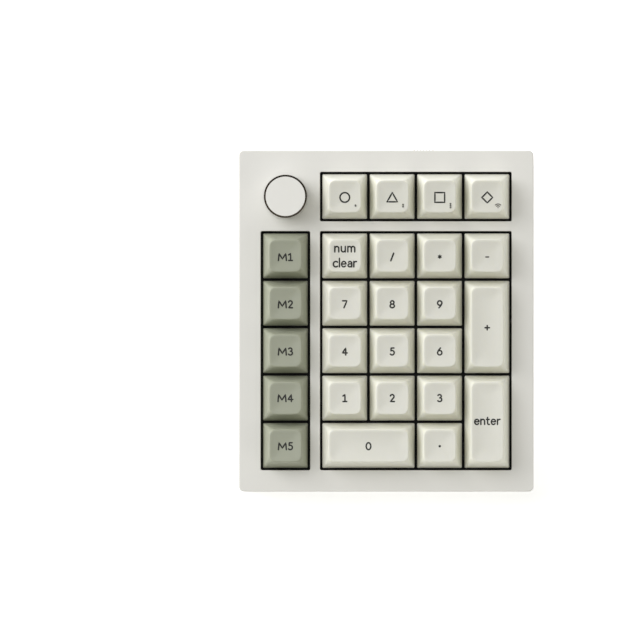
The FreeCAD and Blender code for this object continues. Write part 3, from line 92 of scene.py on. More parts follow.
def node_points(node):
    """A CAD part's points, in metres, as an array."""
    mesh = frame["nodes"][node].data
    points = np.empty(len(mesh.vertices) * 3)
    mesh.vertices.foreach_get("co", points)
    return points.reshape(-1, 3)


def middle(values):
    return (values.min() + values.max()) / 2


case_points = node_points("top_case") @ TURN
plate_points = node_points("switch_plate") @ TURN
ORIGIN = TURN @ np.array((middle(case_points[:, 0]), middle(case_points[:, 1]), plate_points[:, 2].max()))


def on_deck(node):
    """A CAD part's points in deck millimetres: x across, y to the back, z up from the switch plate."""
    return (node_points(node) - ORIGIN) @ TURN / MM


def to_desk(points):
    """Deck millimetres to the metres of the whole scene."""
    return ORIGIN + (np.asarray(points, float) * MM) @ TURN.T


print("deck slope:", round(math.degrees(math.acos(NORMAL.z)), 2), "degrees")

# %% Where every key stands
key_bodies = sorted(body for body in frame["bodies"] if body.startswith("key_"))


def key_place(body):
    """Centre and foot size of a key, in deck millimetres."""
    points = on_deck(body)
    low, high = points.min(0), points.max(0)
    return {"body": body, "x": (low[0] + high[0]) / 2, "y": (low[1] + high[1]) / 2,
            "wide": high[0] - low[0], "deep": high[1] - low[1]}


keys = {body: key_place(body) for body in key_bodies}
key_foot = [round(keys["key_5"][side], 2) for side in ("wide", "deep")]
print(len(keys), "keys; key_5 foot:", key_foot, "mm")

# %% [markdown]
# ## A small kit for shader nodes
# Each finish is a network of nodes. Writing every link by hand is long, so one helper makes a node and
# fills its sockets, and takes either a plain value or another node's output for each of them.

# %% Node helper
def add_node(tree, kind, values=None, **settings):
    """Adds a node, sets its properties, and fills its inputs with values or links."""
    node = tree.nodes.new(kind)
    for name, value in settings.items():
        setattr(node, name, value)
    for name, value in (values or {}).items():
        socket = node.inputs[name]
        if isinstance(value, bpy.types.NodeSocket):
            tree.links.new(value, socket)
        else:
            socket.default_value = value
    return node


def linear(red, green, blue):
    """A colour as a screen shows it, 0 to 255, to the linear values that shaders use."""
    def straighten(value):
        value /= 255
        return value / 12.92 if value <= 0.04045 else ((value + 0.055) / 1.055) ** 2.4
    return (straighten(red), straighten(green), straighten(blue), 1.0)


def new_group(name, inputs, outputs):
    """An empty shader group with named inputs and outputs."""
    tree = bpy.data.node_groups.new(name, "ShaderNodeTree")
    for label, kind, value in inputs:
        socket = tree.interface.new_socket(label, in_out="INPUT", socket_type=kind)
        socket.default_value = value
    for label, kind in outputs:
        tree.interface.new_socket(label, in_out="OUTPUT", socket_type=kind)
    return tree, tree.nodes.new("NodeGroupInput"), tree.nodes.new("NodeGroupOutput")


# %% [markdown]
# ## Effects that several finishes share
# Moulded plastic, blasted paint and cast rubber all carry a fine grain and a very slight unevenness of
# tone. A group holds that once, and each finish sets its own grain size and strength. A second group
# draws fine parallel or ringed tool marks for metal.

# %% Group: surface grain
def grain_group():
    """Fine bumps, a slow drift of tone, and a roughness that follows both."""
    tree, given, result = new_group(
        "Surface Grain",
        [("Grain Size mm", "NodeSocketFloat", 0.2), ("Drift Size mm", "NodeSocketFloat", 12.0),
         ("Colour", "NodeSocketColor", (0.8, 0.8, 0.8, 1)),
         ("Drift Colour", "NodeSocketColor", (0.7, 0.7, 0.7, 1)),
         ("Drift Amount", "NodeSocketFloat", 0.2), ("Roughness", "NodeSocketFloat", 0.5),
         ("Roughness Spread", "NodeSocketFloat", 0.1)],
        [("Colour", "NodeSocketColor"), ("Roughness", "NodeSocketFloat"), ("Height", "NodeSocketFloat")])
    place = add_node(tree, "ShaderNodeTexCoord").outputs["Object"]

    def per_millimetre(size):
        return add_node(tree, "ShaderNodeMath", {0: 1 / MM, 1: size}, operation="DIVIDE").outputs[0]

    grain_scale = per_millimetre(given.outputs["Grain Size mm"])
    fine = add_node(tree, "ShaderNodeTexNoise", {"Vector": place, "Scale": grain_scale,
                                                 "Detail": 3.0, "Roughness": 0.6})
    drift_scale = per_millimetre(given.outputs["Drift Size mm"])
    slow = add_node(tree, "ShaderNodeTexNoise", {"Vector": place, "Scale": drift_scale,
                                                 "Detail": 4.0, "Roughness": 0.55})
    share = add_node(tree, "ShaderNodeMath", {0: slow.outputs["Fac"], 1: given.outputs["Drift Amount"]},
                     operation="MULTIPLY")
    tone = add_node(tree, "ShaderNodeMix", {"Factor": share.outputs[0], 6: given.outputs["Colour"],
                                            7: given.outputs["Drift Colour"]}, data_type="RGBA")
    both = add_node(tree, "ShaderNodeMath", {0: fine.outputs["Fac"], 1: slow.outputs["Fac"]}, operation="ADD")
    centred = add_node(tree, "ShaderNodeMath", {0: both.outputs[0], 1: 1.0}, operation="SUBTRACT")
    rough = add_node(tree, "ShaderNodeMath", {0: centred.outputs[0], 1: given.outputs["Roughness Spread"],
                                              2: given.outputs["Roughness"]}, operation="MULTIPLY_ADD")
    tree.links.new(tone.outputs[2], result.inputs["Colour"])
    tree.links.new(rough.outputs[0], result.inputs["Roughness"])
    tree.links.new(fine.outputs["Fac"], result.inputs["Height"])
    return tree


SURFACE_GRAIN = grain_group()
print("group:", SURFACE_GRAIN.name, "with", len(SURFACE_GRAIN.nodes), "nodes")

# %% Group: tool marks
def tool_mark_group():
    """Fine lines along one direction: a drawn wire, a ground shaft, a stamped sheet."""
    tree, given, result = new_group(
        "Tool Marks",
        [("Line Spacing mm", "NodeSocketFloat", 0.1), ("Stretch", "NodeSocketVector", (1.0, 1.0, 0.05)),
         ("Roughness", "NodeSocketFloat", 0.3), ("Roughness Spread", "NodeSocketFloat", 0.15)],
        [("Roughness", "NodeSocketFloat"), ("Height", "NodeSocketFloat")])
    place = add_node(tree, "ShaderNodeTexCoord").outputs["Object"]
    stretched = add_node(tree, "ShaderNodeVectorMath", {0: place, 1: given.outputs["Stretch"]},
                         operation="MULTIPLY")
    scale = add_node(tree, "ShaderNodeMath", {0: 1 / MM, 1: given.outputs["Line Spacing mm"]},
                     operation="DIVIDE")
    lines = add_node(tree, "ShaderNodeTexNoise", {"Vector": stretched.outputs[0], "Scale": scale.outputs[0],
                                                  "Detail": 4.0, "Roughness": 0.7})
    centred = add_node(tree, "ShaderNodeMath", {0: lines.outputs["Fac"], 1: 0.5}, operation="SUBTRACT")
    rough = add_node(tree, "ShaderNodeMath", {0: centred.outputs[0], 1: given.outputs["Roughness Spread"],
                                              2: given.outputs["Roughness"]}, operation="MULTIPLY_ADD")
    tree.links.new(rough.outputs[0], result.inputs["Roughness"])
    tree.links.new(lines.outputs["Fac"], result.inputs["Height"])
    return tree


TOOL_MARKS = tool_mark_group()
print("group:", TOOL_MARKS.name, "with", len(TOOL_MARKS.nodes), "nodes")

# %% [markdown]
# ## Finishes for moulded, painted and rubber parts
# A finish is one Principled shader fed by the grain group. What changes over the surface comes from the
# group: colour, roughness and the height for the bump. What is the same all over, such as sheen or coat,
# is typed on the shader itself, which keeps it when the model is exported.

# %% Grained finishes
def new_finish(name):
    """A material with an empty network, its Principled shader and its output."""
    finish = bpy.data.materials.new(name)
    finish.use_nodes = True
    finish.node_tree.nodes.clear()
    output = finish.node_tree.nodes.new("ShaderNodeOutputMaterial")
    shader = finish.node_tree.nodes.new("ShaderNodeBsdfPrincipled")
    finish.node_tree.links.new(shader.outputs["BSDF"], output.inputs["Surface"])
    return finish, finish.node_tree, shader


def grained(name, colour, drift_colour, grain=0.2, bump=0.02, drift=0.3, drift_size=12.0, roughness=0.5,
            spread=0.1, constants=None, painted_wall_light=None):
    """A moulded or painted finish: grain, drift and bump depth in millimetres, and painted bounce light on walls.
    """
    finish, tree, shader = new_finish(name)
    group = add_node(tree, "ShaderNodeGroup", node_tree=SURFACE_GRAIN)
    for label, value in (("Grain Size mm", grain), ("Drift Size mm", drift_size), ("Colour", colour),
                         ("Drift Colour", drift_colour), ("Drift Amount", drift), ("Roughness", roughness),
                         ("Roughness Spread", spread)):
        group.inputs[label].default_value = value
    relief = add_node(tree, "ShaderNodeBump", {"Height": group.outputs["Height"], "Distance": bump * MM,
                                               "Strength": 1.0})
    tone = group.outputs["Colour"]
    # Walls are multiplied lighter here: painted light standing in for light bounced between neighbouring caps.
    if painted_wall_light is not None:
        side = add_node(tree, "ShaderNodeAttribute", attribute_name="painted_wall_light")
        tone = add_node(tree, "ShaderNodeMix", {"Factor": side.outputs["Fac"], 6: tone, 7: painted_wall_light},
                        data_type="RGBA", blend_type="MULTIPLY").outputs[2]
    tree.links.new(tone, shader.inputs["Base Color"])
    tree.links.new(group.outputs["Roughness"], shader.inputs["Roughness"])
    tree.links.new(relief.outputs["Normal"], shader.inputs["Normal"])
    for label, value in (constants or {}).items():
        shader.inputs[label].default_value = value
    return finish


FINISHES = {
    "case_paint": grained("blasted_case_paint", linear(226, 225, 221), linear(217, 216, 211), grain=0.22,
                          bump=0.018, drift=0.5, drift_size=30, roughness=0.62, spread=0.16,
                          constants={"Specular IOR Level": 0.4}),
    "knob_paint": grained("blasted_knob_paint", linear(228, 227, 223), linear(219, 218, 213), grain=0.18,
                          bump=0.014, drift=0.5, drift_size=9, roughness=0.55, spread=0.14),
    "cap_pale": grained("pale_cap_moulding_and_painted_wall_light", linear(220, 219, 211), linear(212, 212, 202), grain=0.16,
                        bump=0.012, drift=0.6, drift_size=7, roughness=0.5, spread=0.16,
                        # lighter walls: painted bounce light between neighbouring caps
                        painted_wall_light=(1.15, 1.15, 1.12, 1),
                        constants={"Subsurface Weight": 0.15, "Subsurface Scale": 0.0015,
                                   "Subsurface Radius": (1.0, 0.95, 0.7), "Specular IOR Level": 0.45}),
    "cap_sage": grained("sage_cap_moulding_and_painted_wall_light", linear(159, 162, 146), linear(149, 152, 136), grain=0.16,
                        bump=0.012, drift=0.6, drift_size=7, roughness=0.5, spread=0.16,
                        # lighter walls: painted bounce light between neighbouring caps
                        painted_wall_light=(1.05, 1.05, 1.02, 1),
                        constants={"Subsurface Weight": 0.08, "Subsurface Scale": 0.0015,
                                   "Subsurface Radius": (1.0, 0.95, 0.6), "Specular IOR Level": 0.45}),
    "cap_legend": grained("dark_legend_moulding", linear(30, 30, 26), linear(24, 24, 21), grain=0.16,
                          bump=0.008, drift=0.5, drift_size=5, roughness=0.55, spread=0.1),
    "button_plastic": grained("button_moulding", linear(224, 223, 218), linear(214, 213, 207), grain=0.15,
                              bump=0.01, roughness=0.48),
    "foot_rubber": grained("foot_rubber", linear(46, 46, 48), linear(62, 62, 64), grain=0.3, bump=0.03,
                           drift=0.6, drift_size=5, roughness=0.85, constants={"Specular IOR Level": 0.3}),
    "plate_black": grained("plate_black_coat", linear(15, 15, 16), linear(20, 20, 21), grain=0.2, bump=0.012,
                           roughness=0.6),
    "soft_foam": grained("open_foam", linear(52, 52, 56), linear(28, 28, 31), grain=0.6, bump=0.25, drift=1.0,
                         drift_size=0.8, roughness=0.95, constants={"Specular IOR Level": 0.1}),
    "housing_milky": grained("milky_housing", linear(233, 231, 224), linear(222, 220, 211), grain=0.2,
                             bump=0.006, roughness=0.38,
                             constants={"Subsurface Weight": 0.25, "Subsurface Scale": 0.002,
                                        "Subsurface Radius": (1.0, 0.95, 0.85)}),
    "switch_stem": grained("red_stem", linear(206, 38, 30), linear(186, 28, 24), grain=0.15, bump=0.005,
                           roughness=0.33, constants={"Subsurface Weight": 0.15, "Subsurface Scale": 0.0015,
                                                      "Subsurface Radius": (1.0, 0.25, 0.2)}),
    "insert_white": grained("insert_moulding", linear(225, 226, 226), linear(214, 216, 217), grain=0.2,
                            bump=0.006, roughness=0.36),
    "black_plastic": grained("black_moulding", linear(27, 27, 28), linear(38, 38, 39), grain=0.25, bump=0.01,
                             roughness=0.5),
    "battery_foil": grained("battery_pouch_foil", linear(188, 190, 194), linear(165, 168, 172), grain=1.4,
                            bump=0.05, drift=0.7, drift_size=3, roughness=0.36, spread=0.2,
                            constants={"Metallic": 0.85}),
    "lead_rubber": grained("lead_insulation", linear(150, 30, 26), linear(120, 22, 20), grain=0.4, bump=0.008,
                           roughness=0.5),
    "ribbon_film": grained("ribbon_film", linear(176, 112, 40), linear(150, 90, 30), grain=0.5, bump=0.004,
                           roughness=0.3, constants={"Coat Weight": 0.3}),
}
print("grained finishes:", ", ".join(FINISHES))

# %% [markdown]
# ## Finishes for metal
# Metal differs from plastic in its tool marks: a drawn spring wire carries lines along itself, and a stamped
# contact carries lines in one direction. The tool mark group stretches noise to make them.

# %% Metal finishes
def tooled(name, colour, spacing=0.08, stretch=(1.0, 1.0, 0.05), bump=0.004, roughness=0.3, spread=0.15,
           constants=None):
    """A metal finish with fine lines."""
    finish, tree, shader = new_finish(name)
    group = add_node(tree, "ShaderNodeGroup", node_tree=TOOL_MARKS)
    for label, value in (("Line Spacing mm", spacing), ("Stretch", stretch), ("Roughness", roughness),
                         ("Roughness Spread", spread)):
        group.inputs[label].default_value = value
    relief = add_node(tree, "ShaderNodeBump", {"Height": group.outputs["Height"], "Distance": bump * MM,
                                               "Strength": 1.0})
    tree.links.new(group.outputs["Roughness"], shader.inputs["Roughness"])
    tree.links.new(relief.outputs["Normal"], shader.inputs["Normal"])
    shader.inputs["Base Color"].default_value = colour
    shader.inputs["Metallic"].default_value = 1.0
    for label, value in (constants or {}).items():
        shader.inputs[label].default_value = value
    return finish


FINISHES.update({
    # The ring is a real polished cut; its dark colour is a painted reflection of dark surroundings.
    "knob_ring": tooled("painted_dark_reflection_polished_ring", linear(66, 59, 52), stretch=(1, 1, 1), bump=0.001, roughness=0.16,
                        spread=0.08),
    "screw_steel": tooled("black_screw_steel", linear(70, 70, 74), stretch=(1, 1, 1), roughness=0.38),
    "spring_steel": tooled("drawn_spring_wire", linear(196, 186, 160), stretch=(1, 1, 0.4), roughness=0.26),
    "contact_copper": tooled("stamped_contact", linear(206, 140, 92), stretch=(1, 1, 0.05), roughness=0.3),
    "encoder_steel": tooled("encoder_plating", linear(186, 188, 192), stretch=(0.1, 1, 1), roughness=0.32),
    "port_steel": tooled("port_shell", linear(178, 180, 184), stretch=(1, 0.05, 1), roughness=0.3),
})
print("metal finishes:", sum(finish.name.endswith(("ring", "steel", "wire", "contact", "plating", "shell"))
                             for finish in FINISHES.values()))

# %% [markdown]
# ## Clear housing and board laminate
# The switches' top housings are clear: glass-like, with most light passing through, and a slightly rough
# moulded skin. The circuit boards are green laminate whose copper tracks show as a fine relief under the
# solder mask. Tracks run square to each other, so square cells and waves, quantised, make a believable maze.

# %% Clear plastic
clear, tree, shader = new_finish("clear_housing")
skin = add_node(tree, "ShaderNodeGroup", node_tree=SURFACE_GRAIN)
skin.inputs["Grain Size mm"].default_value = 0.5
skin.inputs["Roughness"].default_value = 0.12
skin.inputs["Roughness Spread"].default_value = 0.1
skin.inputs["Colour"].default_value = linear(240, 240, 238)
skin.inputs["Drift Colour"].default_value = linear(232, 230, 224)
tree.links.new(skin.outputs["Colour"], shader.inputs["Base Color"])
tree.links.new(skin.outputs["Roughness"], shader.inputs["Roughness"])
shader.inputs["Transmission Weight"].default_value = 0.9
shader.inputs["IOR"].default_value = 1.5
FINISHES["housing_clear"] = clear
print("clear finish:", clear.name)

# %% Board laminate
laminate, tree, shader = new_finish("board_laminate")
place = add_node(tree, "ShaderNodeTexCoord").outputs["Object"]
cells = add_node(tree, "ShaderNodeTexVoronoi", {"Vector": place, "Scale": 260.0, "Randomness": 0.35},
                 feature="F1", distance="CHEBYCHEV")
ways = add_node(tree, "ShaderNodeTexWave", {"Vector": place, "Scale": 190.0, "Distortion": 0.0},
                wave_type="BANDS", bands_direction="X")
maze = add_node(tree, "ShaderNodeMath", {0: cells.outputs["Distance"], 1: ways.outputs["Fac"]},
                operation="MULTIPLY")
tracks = add_node(tree, "ShaderNodeMath", {0: maze.outputs[0], 1: 0.16}, operation="GREATER_THAN")
mask = add_node(tree, "ShaderNodeMix", {"Factor": tracks.outputs[0], 6: linear(14, 44, 34),
                                        7: linear(20, 62, 46)}, data_type="RGBA")
gloss = add_node(tree, "ShaderNodeMapRange", {"Value": maze.outputs[0], "To Min": 0.3, "To Max": 0.42})
relief = add_node(tree, "ShaderNodeBump", {"Height": tracks.outputs[0], "Distance": 0.03 * MM, "Strength": 1.0})
tree.links.new(mask.outputs[2], shader.inputs["Base Color"])
tree.links.new(gloss.outputs["Result"], shader.inputs["Roughness"])
tree.links.new(relief.outputs["Normal"], shader.inputs["Normal"])
FINISHES["board_laminate"] = laminate
print("laminate finish:", laminate.name)

# %% [markdown]
# ## Dressing the CAD parts that stay
# Most parts keep their CAD shape: the case, plate, boards, housings and screws are already exact. The
# record names each part's finish, so a loop gives every one of them its material.

# %% Finish every CAD part
def dress(piece, slot):
    """Gives a piece one of the finishes."""
    piece.data.materials.clear()
    piece.data.materials.append(FINISHES[slot])


for row in frame["record"]["subparts"]:
    dress(frame["nodes"][row["node"]], row["material_slot"])

# %% [markdown]
# ## Key caps
# A cap is a thin moulded shell: four walls that lean in, a soft rim, and a shallow dish for the fingertip.
# It could be a box with bevels, but the dish and the leaning corners would come out wrong. A loft is
# better: rings with the same number of points, each a rounded rectangle, from the ceiling of the hollow,
# down the inner walls, round the foot, up the outer walls, over the rim and in to the middle of the dish.

# %% Rounded rectangle rings
CORNER_STEPS = 7
SIDE_STEPS = 9


def ring(wide, deep, radius, bulge=0.0):
    """Points of a rounded rectangle, anticlockwise, with sides that may swell outwards."""
    half = np.array((wide, deep)) / 2
    radius = min(radius, half.min() - 0.001)
    points = []
    for quarter, signs in enumerate(((1, 1), (-1, 1), (-1, -1), (1, -1))):
        centre = (half - radius) * signs
        for step in range(CORNER_STEPS + 1):
            angle = math.pi / 2 * (quarter + step / CORNER_STEPS)
            points.append(centre + radius * np.array((math.cos(angle), math.sin(angle))))
        turned = math.pi / 2 * (quarter + 1)
        outward = np.array((math.cos(turned), math.sin(turned)))
        along = np.array((-math.sin(turned), math.cos(turned)))
        start = points[-1]
        run = 2 * (half - radius)[0 if quarter % 2 == 0 else 1]
        for step in range(1, SIDE_STEPS + 1):
            share = step / (SIDE_STEPS + 1)
            points.append(start + along * run * share + outward * bulge * (1 - (2 * share - 1) ** 2))
    return np.array(points)


RING_POINTS = len(ring(10, 10, 1))
print("points in a ring:", RING_POINTS)

# %% Skin rings into a piece
def skin_rings(rings, close_start=True, close_end=True, loop=False):
    """Faces between neighbouring rings, all with the same number of points."""
    count = len(rings[0])
    pairs = [(row, row + 1) for row in range(len(rings) - 1)] + ([(len(rings) - 1, 0)] if loop else [])
    faces = [(low * count + step, low * count + (step + 1) % count,
              high * count + (step + 1) % count, high * count + step)
             for low, high in pairs for step in range(count)]
    if close_start and not loop:
        faces.append(tuple(reversed(range(count))))
    if close_end and not loop:
        faces.append(tuple(range((len(rings) - 1) * count, len(rings) * count)))
    return np.concatenate(rings), faces


def make_piece(name, shells, slot, sharp=40):
    """One mesh object from shells of (deck points, faces), smooth except at sharp edges."""
    points, faces = [], []
    for shell_points, shell_faces in shells:
        start = sum(len(group) for group in points)
        points.append(to_desk(shell_points))
        faces += [tuple(start + corner for corner in face) for face in shell_faces]
    mesh = bpy.data.meshes.new(name)
    mesh.from_pydata(np.concatenate(points).tolist(), [], faces)
    mesh.shade_smooth()
    mesh.set_sharp_from_angle(angle=math.radians(sharp))
    piece = bpy.data.objects.new(name, mesh)
    bpy.context.scene.collection.objects.link(piece)
    dress(piece, slot)
    return piece


print("skinning kit ready")

# %% Sizes of a cap, in millimetres
CAP_BOTTOM = 6.1
CAP_WALL = 1.5
CAP_ROOF = 1.5
CAP_TOP_INSET = 2.55
CAP_FOOT_CORNER = 0.5
CAP_TOP_CORNER = 2.5
CAP_RIM_ROUND = 0.5
CAP_DISH_DEPTH = 0.62
CAP_BULGE = 0.08
CAP_HEIGHTS = (9.6, 9.2, 9.2, 9.6, 10.4, 11.2)     # from the user's row to the back row
CAP_TILTS = (-4.0, -2.0, 0.0, 2.5, 4.5, 6.0)       # degrees
KEY_PITCH = 19.05
FIRST_ROW = min(place["y"] for place in keys.values() if place["deep"] < KEY_PITCH)
for place in keys.values():
    bottom_row = place["y"] - (place["deep"] - 18) / 2
    place["row"] = min(5, int((bottom_row - FIRST_ROW) / KEY_PITCH + 0.1))
print("rows:", {body: place["row"] for body, place in keys.items() if place["x"] > 30})

# %% Heights over a cap
def top_height(place, down_the_cap):
    """Height of a cap's top plane at a distance towards the back from its centre."""
    return CAP_HEIGHTS[place["row"]] + down_the_cap * math.tan(math.radians(CAP_TILTS[place["row"]]))


def half_short(place):
    """Half of the short side of a cap's top, inside its rim."""
    return min(place["wide"], place["deep"]) / 2 - CAP_TOP_INSET - CAP_RIM_ROUND * RIM_TANGENT


WALL_LEAN = math.atan(CAP_TOP_INSET / 9.2)
RIM_TANGENT = math.tan((math.pi / 2 - WALL_LEAN) / 2)
DISH_RINGS = 11
RIM_RINGS = 6
WALL_RINGS = 5


def cap_rings(place):
    """Every ring of a cap, from the ceiling of its hollow to the middle of its dish."""
    wide, deep = place["wide"], place["deep"]

    def level(width, depth, radius, share, extra=0.0, bulge=0.0):
        flat = ring(width, depth, radius, bulge)
        height = CAP_BOTTOM + share * top_height(place, flat[:, 1]) + extra
        return np.column_stack((flat + (place["x"], place["y"]), height))

    inner, roof = 2 * CAP_WALL, CAP_DISH_DEPTH + CAP_ROOF
    top_wide, top_deep = wide - 2 * CAP_TOP_INSET, deep - 2 * CAP_TOP_INSET
    rings = [level(top_wide - inner - 4, top_deep - inner - 4, 1.0, 1, -roof),
             level(top_wide - inner, top_deep - inner, 1.2, 1, -roof),
             level(wide - inner, deep - inner, 0.4, 0, 0.25),
             level(wide - inner + 0.3, deep - inner + 0.3, 0.5, 0, 0.0),
             level(wide - 0.3, deep - 0.3, CAP_FOOT_CORNER, 0, 0.0),
             level(wide, deep, CAP_FOOT_CORNER, 0, 0.18)]
    rim_start = 1 - CAP_RIM_ROUND * RIM_TANGENT * math.cos(WALL_LEAN) / CAP_HEIGHTS[place["row"]]
    for step in range(1, WALL_RINGS + 1):
        share = rim_start * step / WALL_RINGS
        inset = 2 * CAP_TOP_INSET * share
        radius = CAP_FOOT_CORNER + (CAP_TOP_CORNER - CAP_FOOT_CORNER) * share ** 1.3
        rings.append(level(wide - inset, deep - inset, radius, share, 0, CAP_BULGE * share))
    for step in range(1, RIM_RINGS + 1):
        angle = WALL_LEAN + (math.pi / 2 - WALL_LEAN) * step / RIM_RINGS
        out = 2 * CAP_RIM_ROUND * (math.cos(angle) - RIM_TANGENT)
        rings.append(level(top_wide + out, top_deep + out, CAP_TOP_CORNER + out / 2, 1,
                           CAP_RIM_ROUND * (math.sin(angle) - 1), CAP_BULGE))
    out = -2 * CAP_RIM_ROUND * RIM_TANGENT
    half = half_short(place)
    corner = (CAP_TOP_CORNER + out / 2) / half
    for step in range(1, DISH_RINGS + 1):
        share = 0.985 * math.sin(math.pi / 2 * step / DISH_RINGS)
        left = 1 - share
        rings.append(level(top_wide + out - 2 * half * share, top_deep + out - 2 * half * share,
                           half * left * (corner + (1 - corner) * share ** 3), 1,
                           -CAP_DISH_DEPTH * (1 - left ** 2), CAP_BULGE * left))
    return rings


def dish_drop(place, x, y):
    """How far the dish lies under the top plane at a point measured from the cap's centre."""
    half = half_short(place)
    reach_x = np.maximum(np.abs(x) - max(0, (place["wide"] - place["deep"]) / 2), 0) / half
    reach_y = np.maximum(np.abs(y) - max(0, (place["deep"] - place["wide"]) / 2), 0) / half
    reach = np.minimum((reach_x ** 2.6 + reach_y ** 2.6) ** (1 / 2.6), 1)
    return -CAP_DISH_DEPTH * (1 - reach ** 2)


print("a cap has", len(cap_rings(keys["key_5"])), "rings")

# %% Sockets under a cap
SOCKET_RADIUS = 2.7
SOCKET_BOTTOM = 6.7
CROSS_LENGTH = 4.1
CROSS_WIDTH = 1.3
STAB_SPACING = 11.938


def cross_outline(x, y):
    """Twelve corners of a cross."""
    long, short = CROSS_LENGTH / 2, CROSS_WIDTH / 2
    corner = [(long, short), (short, short), (short, long)]
    outline = []
    for quarter in range(4):
        turn = math.pi / 2 * quarter
        for px, py in corner:
            outline.append((x + px * math.cos(turn) - py * math.sin(turn),
                            y + px * math.sin(turn) + py * math.cos(turn)))
    return outline


def socket_shell(place, x, y):
    """A round post with a cross-shaped hole."""
    cross = np.array(cross_outline(x, y))
    angles = np.arctan2(cross[:, 1] - y, cross[:, 0] - x)
    circle = np.column_stack((x + SOCKET_RADIUS * np.cos(angles), y + SOCKET_RADIUS * np.sin(angles)))
    top = CAP_BOTTOM + top_height(place, y - place["y"]) - CAP_ROOF - 0.3
    flat = [(circle, SOCKET_BOTTOM), (circle, top), (cross, top), (cross, SOCKET_BOTTOM)]
    return skin_rings([np.column_stack((shape, np.full(len(shape), height))) for shape, height in flat],
                      loop=True)


def stem_places(place):
    """Deck positions of a key's stem and, on a two-unit key, of its two inserts."""
    x, y = place["x"], place["y"]
    if place["wide"] > KEY_PITCH:
        return [(x, y), (x - STAB_SPACING, y), (x + STAB_SPACING, y)]
    if place["deep"] > KEY_PITCH:
        return [(x, y), (x, y - STAB_SPACING), (x, y + STAB_SPACING)]
    return [(x, y)]


print("sockets on key_0:", len(stem_places(keys["key_0"])))

# %% [markdown]
# A real cap is one colour all over. The walls here are a little lighter than the top, which stands in for the
# light that bounces about between neighbouring caps. A number on every point says how far it belongs to the
# walls, and the finish reads that number, so the change of tone follows the rim.

# %% Mould the caps
SAGE_KEYS = {f"key_m{number}" for number in range(1, 6)}


HOLLOW_RINGS = 6             # ceiling, inside and foot of a cap, which come before its walls
RIM_SHARE_LOW = 0.9          # how far the rim belongs to the walls, at its foot
RIM_SHARE_HIGH = 0.3         # and at its top


def paint_wall_light_share(cap):
    """Writes how much painted bounce light each point gets: 1 on a cap's walls, less over its rim, 0 in its dish.
    """
    rim_start = (HOLLOW_RINGS + WALL_RINGS) * RING_POINTS
    dish_start = rim_start + RIM_RINGS * RING_POINTS
    dish_end = dish_start + DISH_RINGS * RING_POINTS
    rim = np.linspace(RIM_SHARE_LOW, RIM_SHARE_HIGH, RIM_RINGS)
    share = np.ones(len(cap.data.vertices), dtype=np.float32)
    share[rim_start:dish_start] = np.repeat(rim, RING_POINTS)
    share[dish_start:dish_end] = 0
    cap.data.attributes.new("painted_wall_light", "FLOAT", "POINT").data.foreach_set("value", share)


for body, place in keys.items():
    shells = [skin_rings(cap_rings(place))] + [socket_shell(place, x, y) for x, y in stem_places(place)]
    slot = "cap_sage" if body in SAGE_KEYS else "cap_pale"
    cap = make_piece(body.replace("key", "cap"), shells, slot, sharp=35)
    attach(cap, body)
    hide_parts(body)
    paint_wall_light_share(cap)

# %% [markdown]
# ## Stems and inserts
# Under each cap a red stem slides in the switch, and a long key has two white inserts on its stabiliser
# wire. The CAD already holds them in fine detail inside each key's part. Modelling them again would add
# nothing, so a copy of the part is welded, its loose shells are found, and the cap's shell is dropped.

# %% Copy the stems out of the keys
def loose_shells(mesh):
    """Welds a copy of a CAD mesh and lists its separate shells as sets of faces."""
    work = bmesh.new()
    work.from_mesh(mesh)
    bmesh.ops.remove_doubles(work, verts=work.verts, dist=1e-6)
    work.faces.ensure_lookup_table()
    seen, shells = set(), []
    for face in work.faces:
        if face.index in seen:
            continue
        shell, edge_of_search = [], [face]
        seen.add(face.index)
        while edge_of_search:
            current = edge_of_search.pop()
            shell.append(current)
            for vertex in current.verts:
                for neighbour in vertex.link_faces:
                    if neighbour.index not in seen:
                        seen.add(neighbour.index)
                        edge_of_search.append(neighbour)
        shells.append(shell)
    return work, shells


def shell_arrays(shell):
    """A shell's points in deck millimetres and its faces."""
    order, points, faces = {}, [], []
    for face in shell:
        corners = []
        for vertex in face.verts:
            if vertex not in order:
                order[vertex] = len(points)
                points.append(tuple(vertex.co))
            corners.append(order[vertex])
        faces.append(tuple(corners))
    return (np.array(points) - ORIGIN) @ TURN / MM, faces


STEM_SKIRT_REACH = 4.5
for body, place in keys.items():
    work, shells = loose_shells(frame["nodes"][body].data)
    stems, inserts = [], []
    for points, faces in map(shell_arrays, shells):
        spread = points.max(0) - points.min(0)
        if spread[0] > 2 * STEM_SKIRT_REACH or spread[1] > 2 * STEM_SKIRT_REACH:
            continue
        centre = (points.max(0) + points.min(0))[:2] / 2
        near = math.hypot(centre[0] - place["x"], centre[1] - place["y"]) < 2
        (stems if near else inserts).append((points, faces))
    work.free()
    for name, group, slot in (("stem", stems, "switch_stem"), ("inserts", inserts, "insert_white")):
        if group:
            piece = make_piece(body.replace("key", name), group, slot)
            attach(piece, body)
            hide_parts(body)

# %% [markdown]
# ## Legends
# Each legend is a dark second moulding, level with the cap, drawn with one even stroke. Lettering could
# come from a font, but strokes are closer to the real thing: a few lines and arcs for each sign, swept by
# Geometry Nodes into a flat ribbon with round ends, and then laid over the dish point by point.

# %% Strokes of the signs
ARC_STEP = 15


def arc(cx, cy, rx, ry, start, stop):
    """Points on an ellipse from one angle to another, in degrees."""
    count = max(3, int(abs(stop - start) / ARC_STEP))
    angles = [math.radians(start + (stop - start) * step / count) for step in range(count + 1)]
    return [(cx + rx * math.cos(angle), cy + ry * math.sin(angle)) for angle in angles]


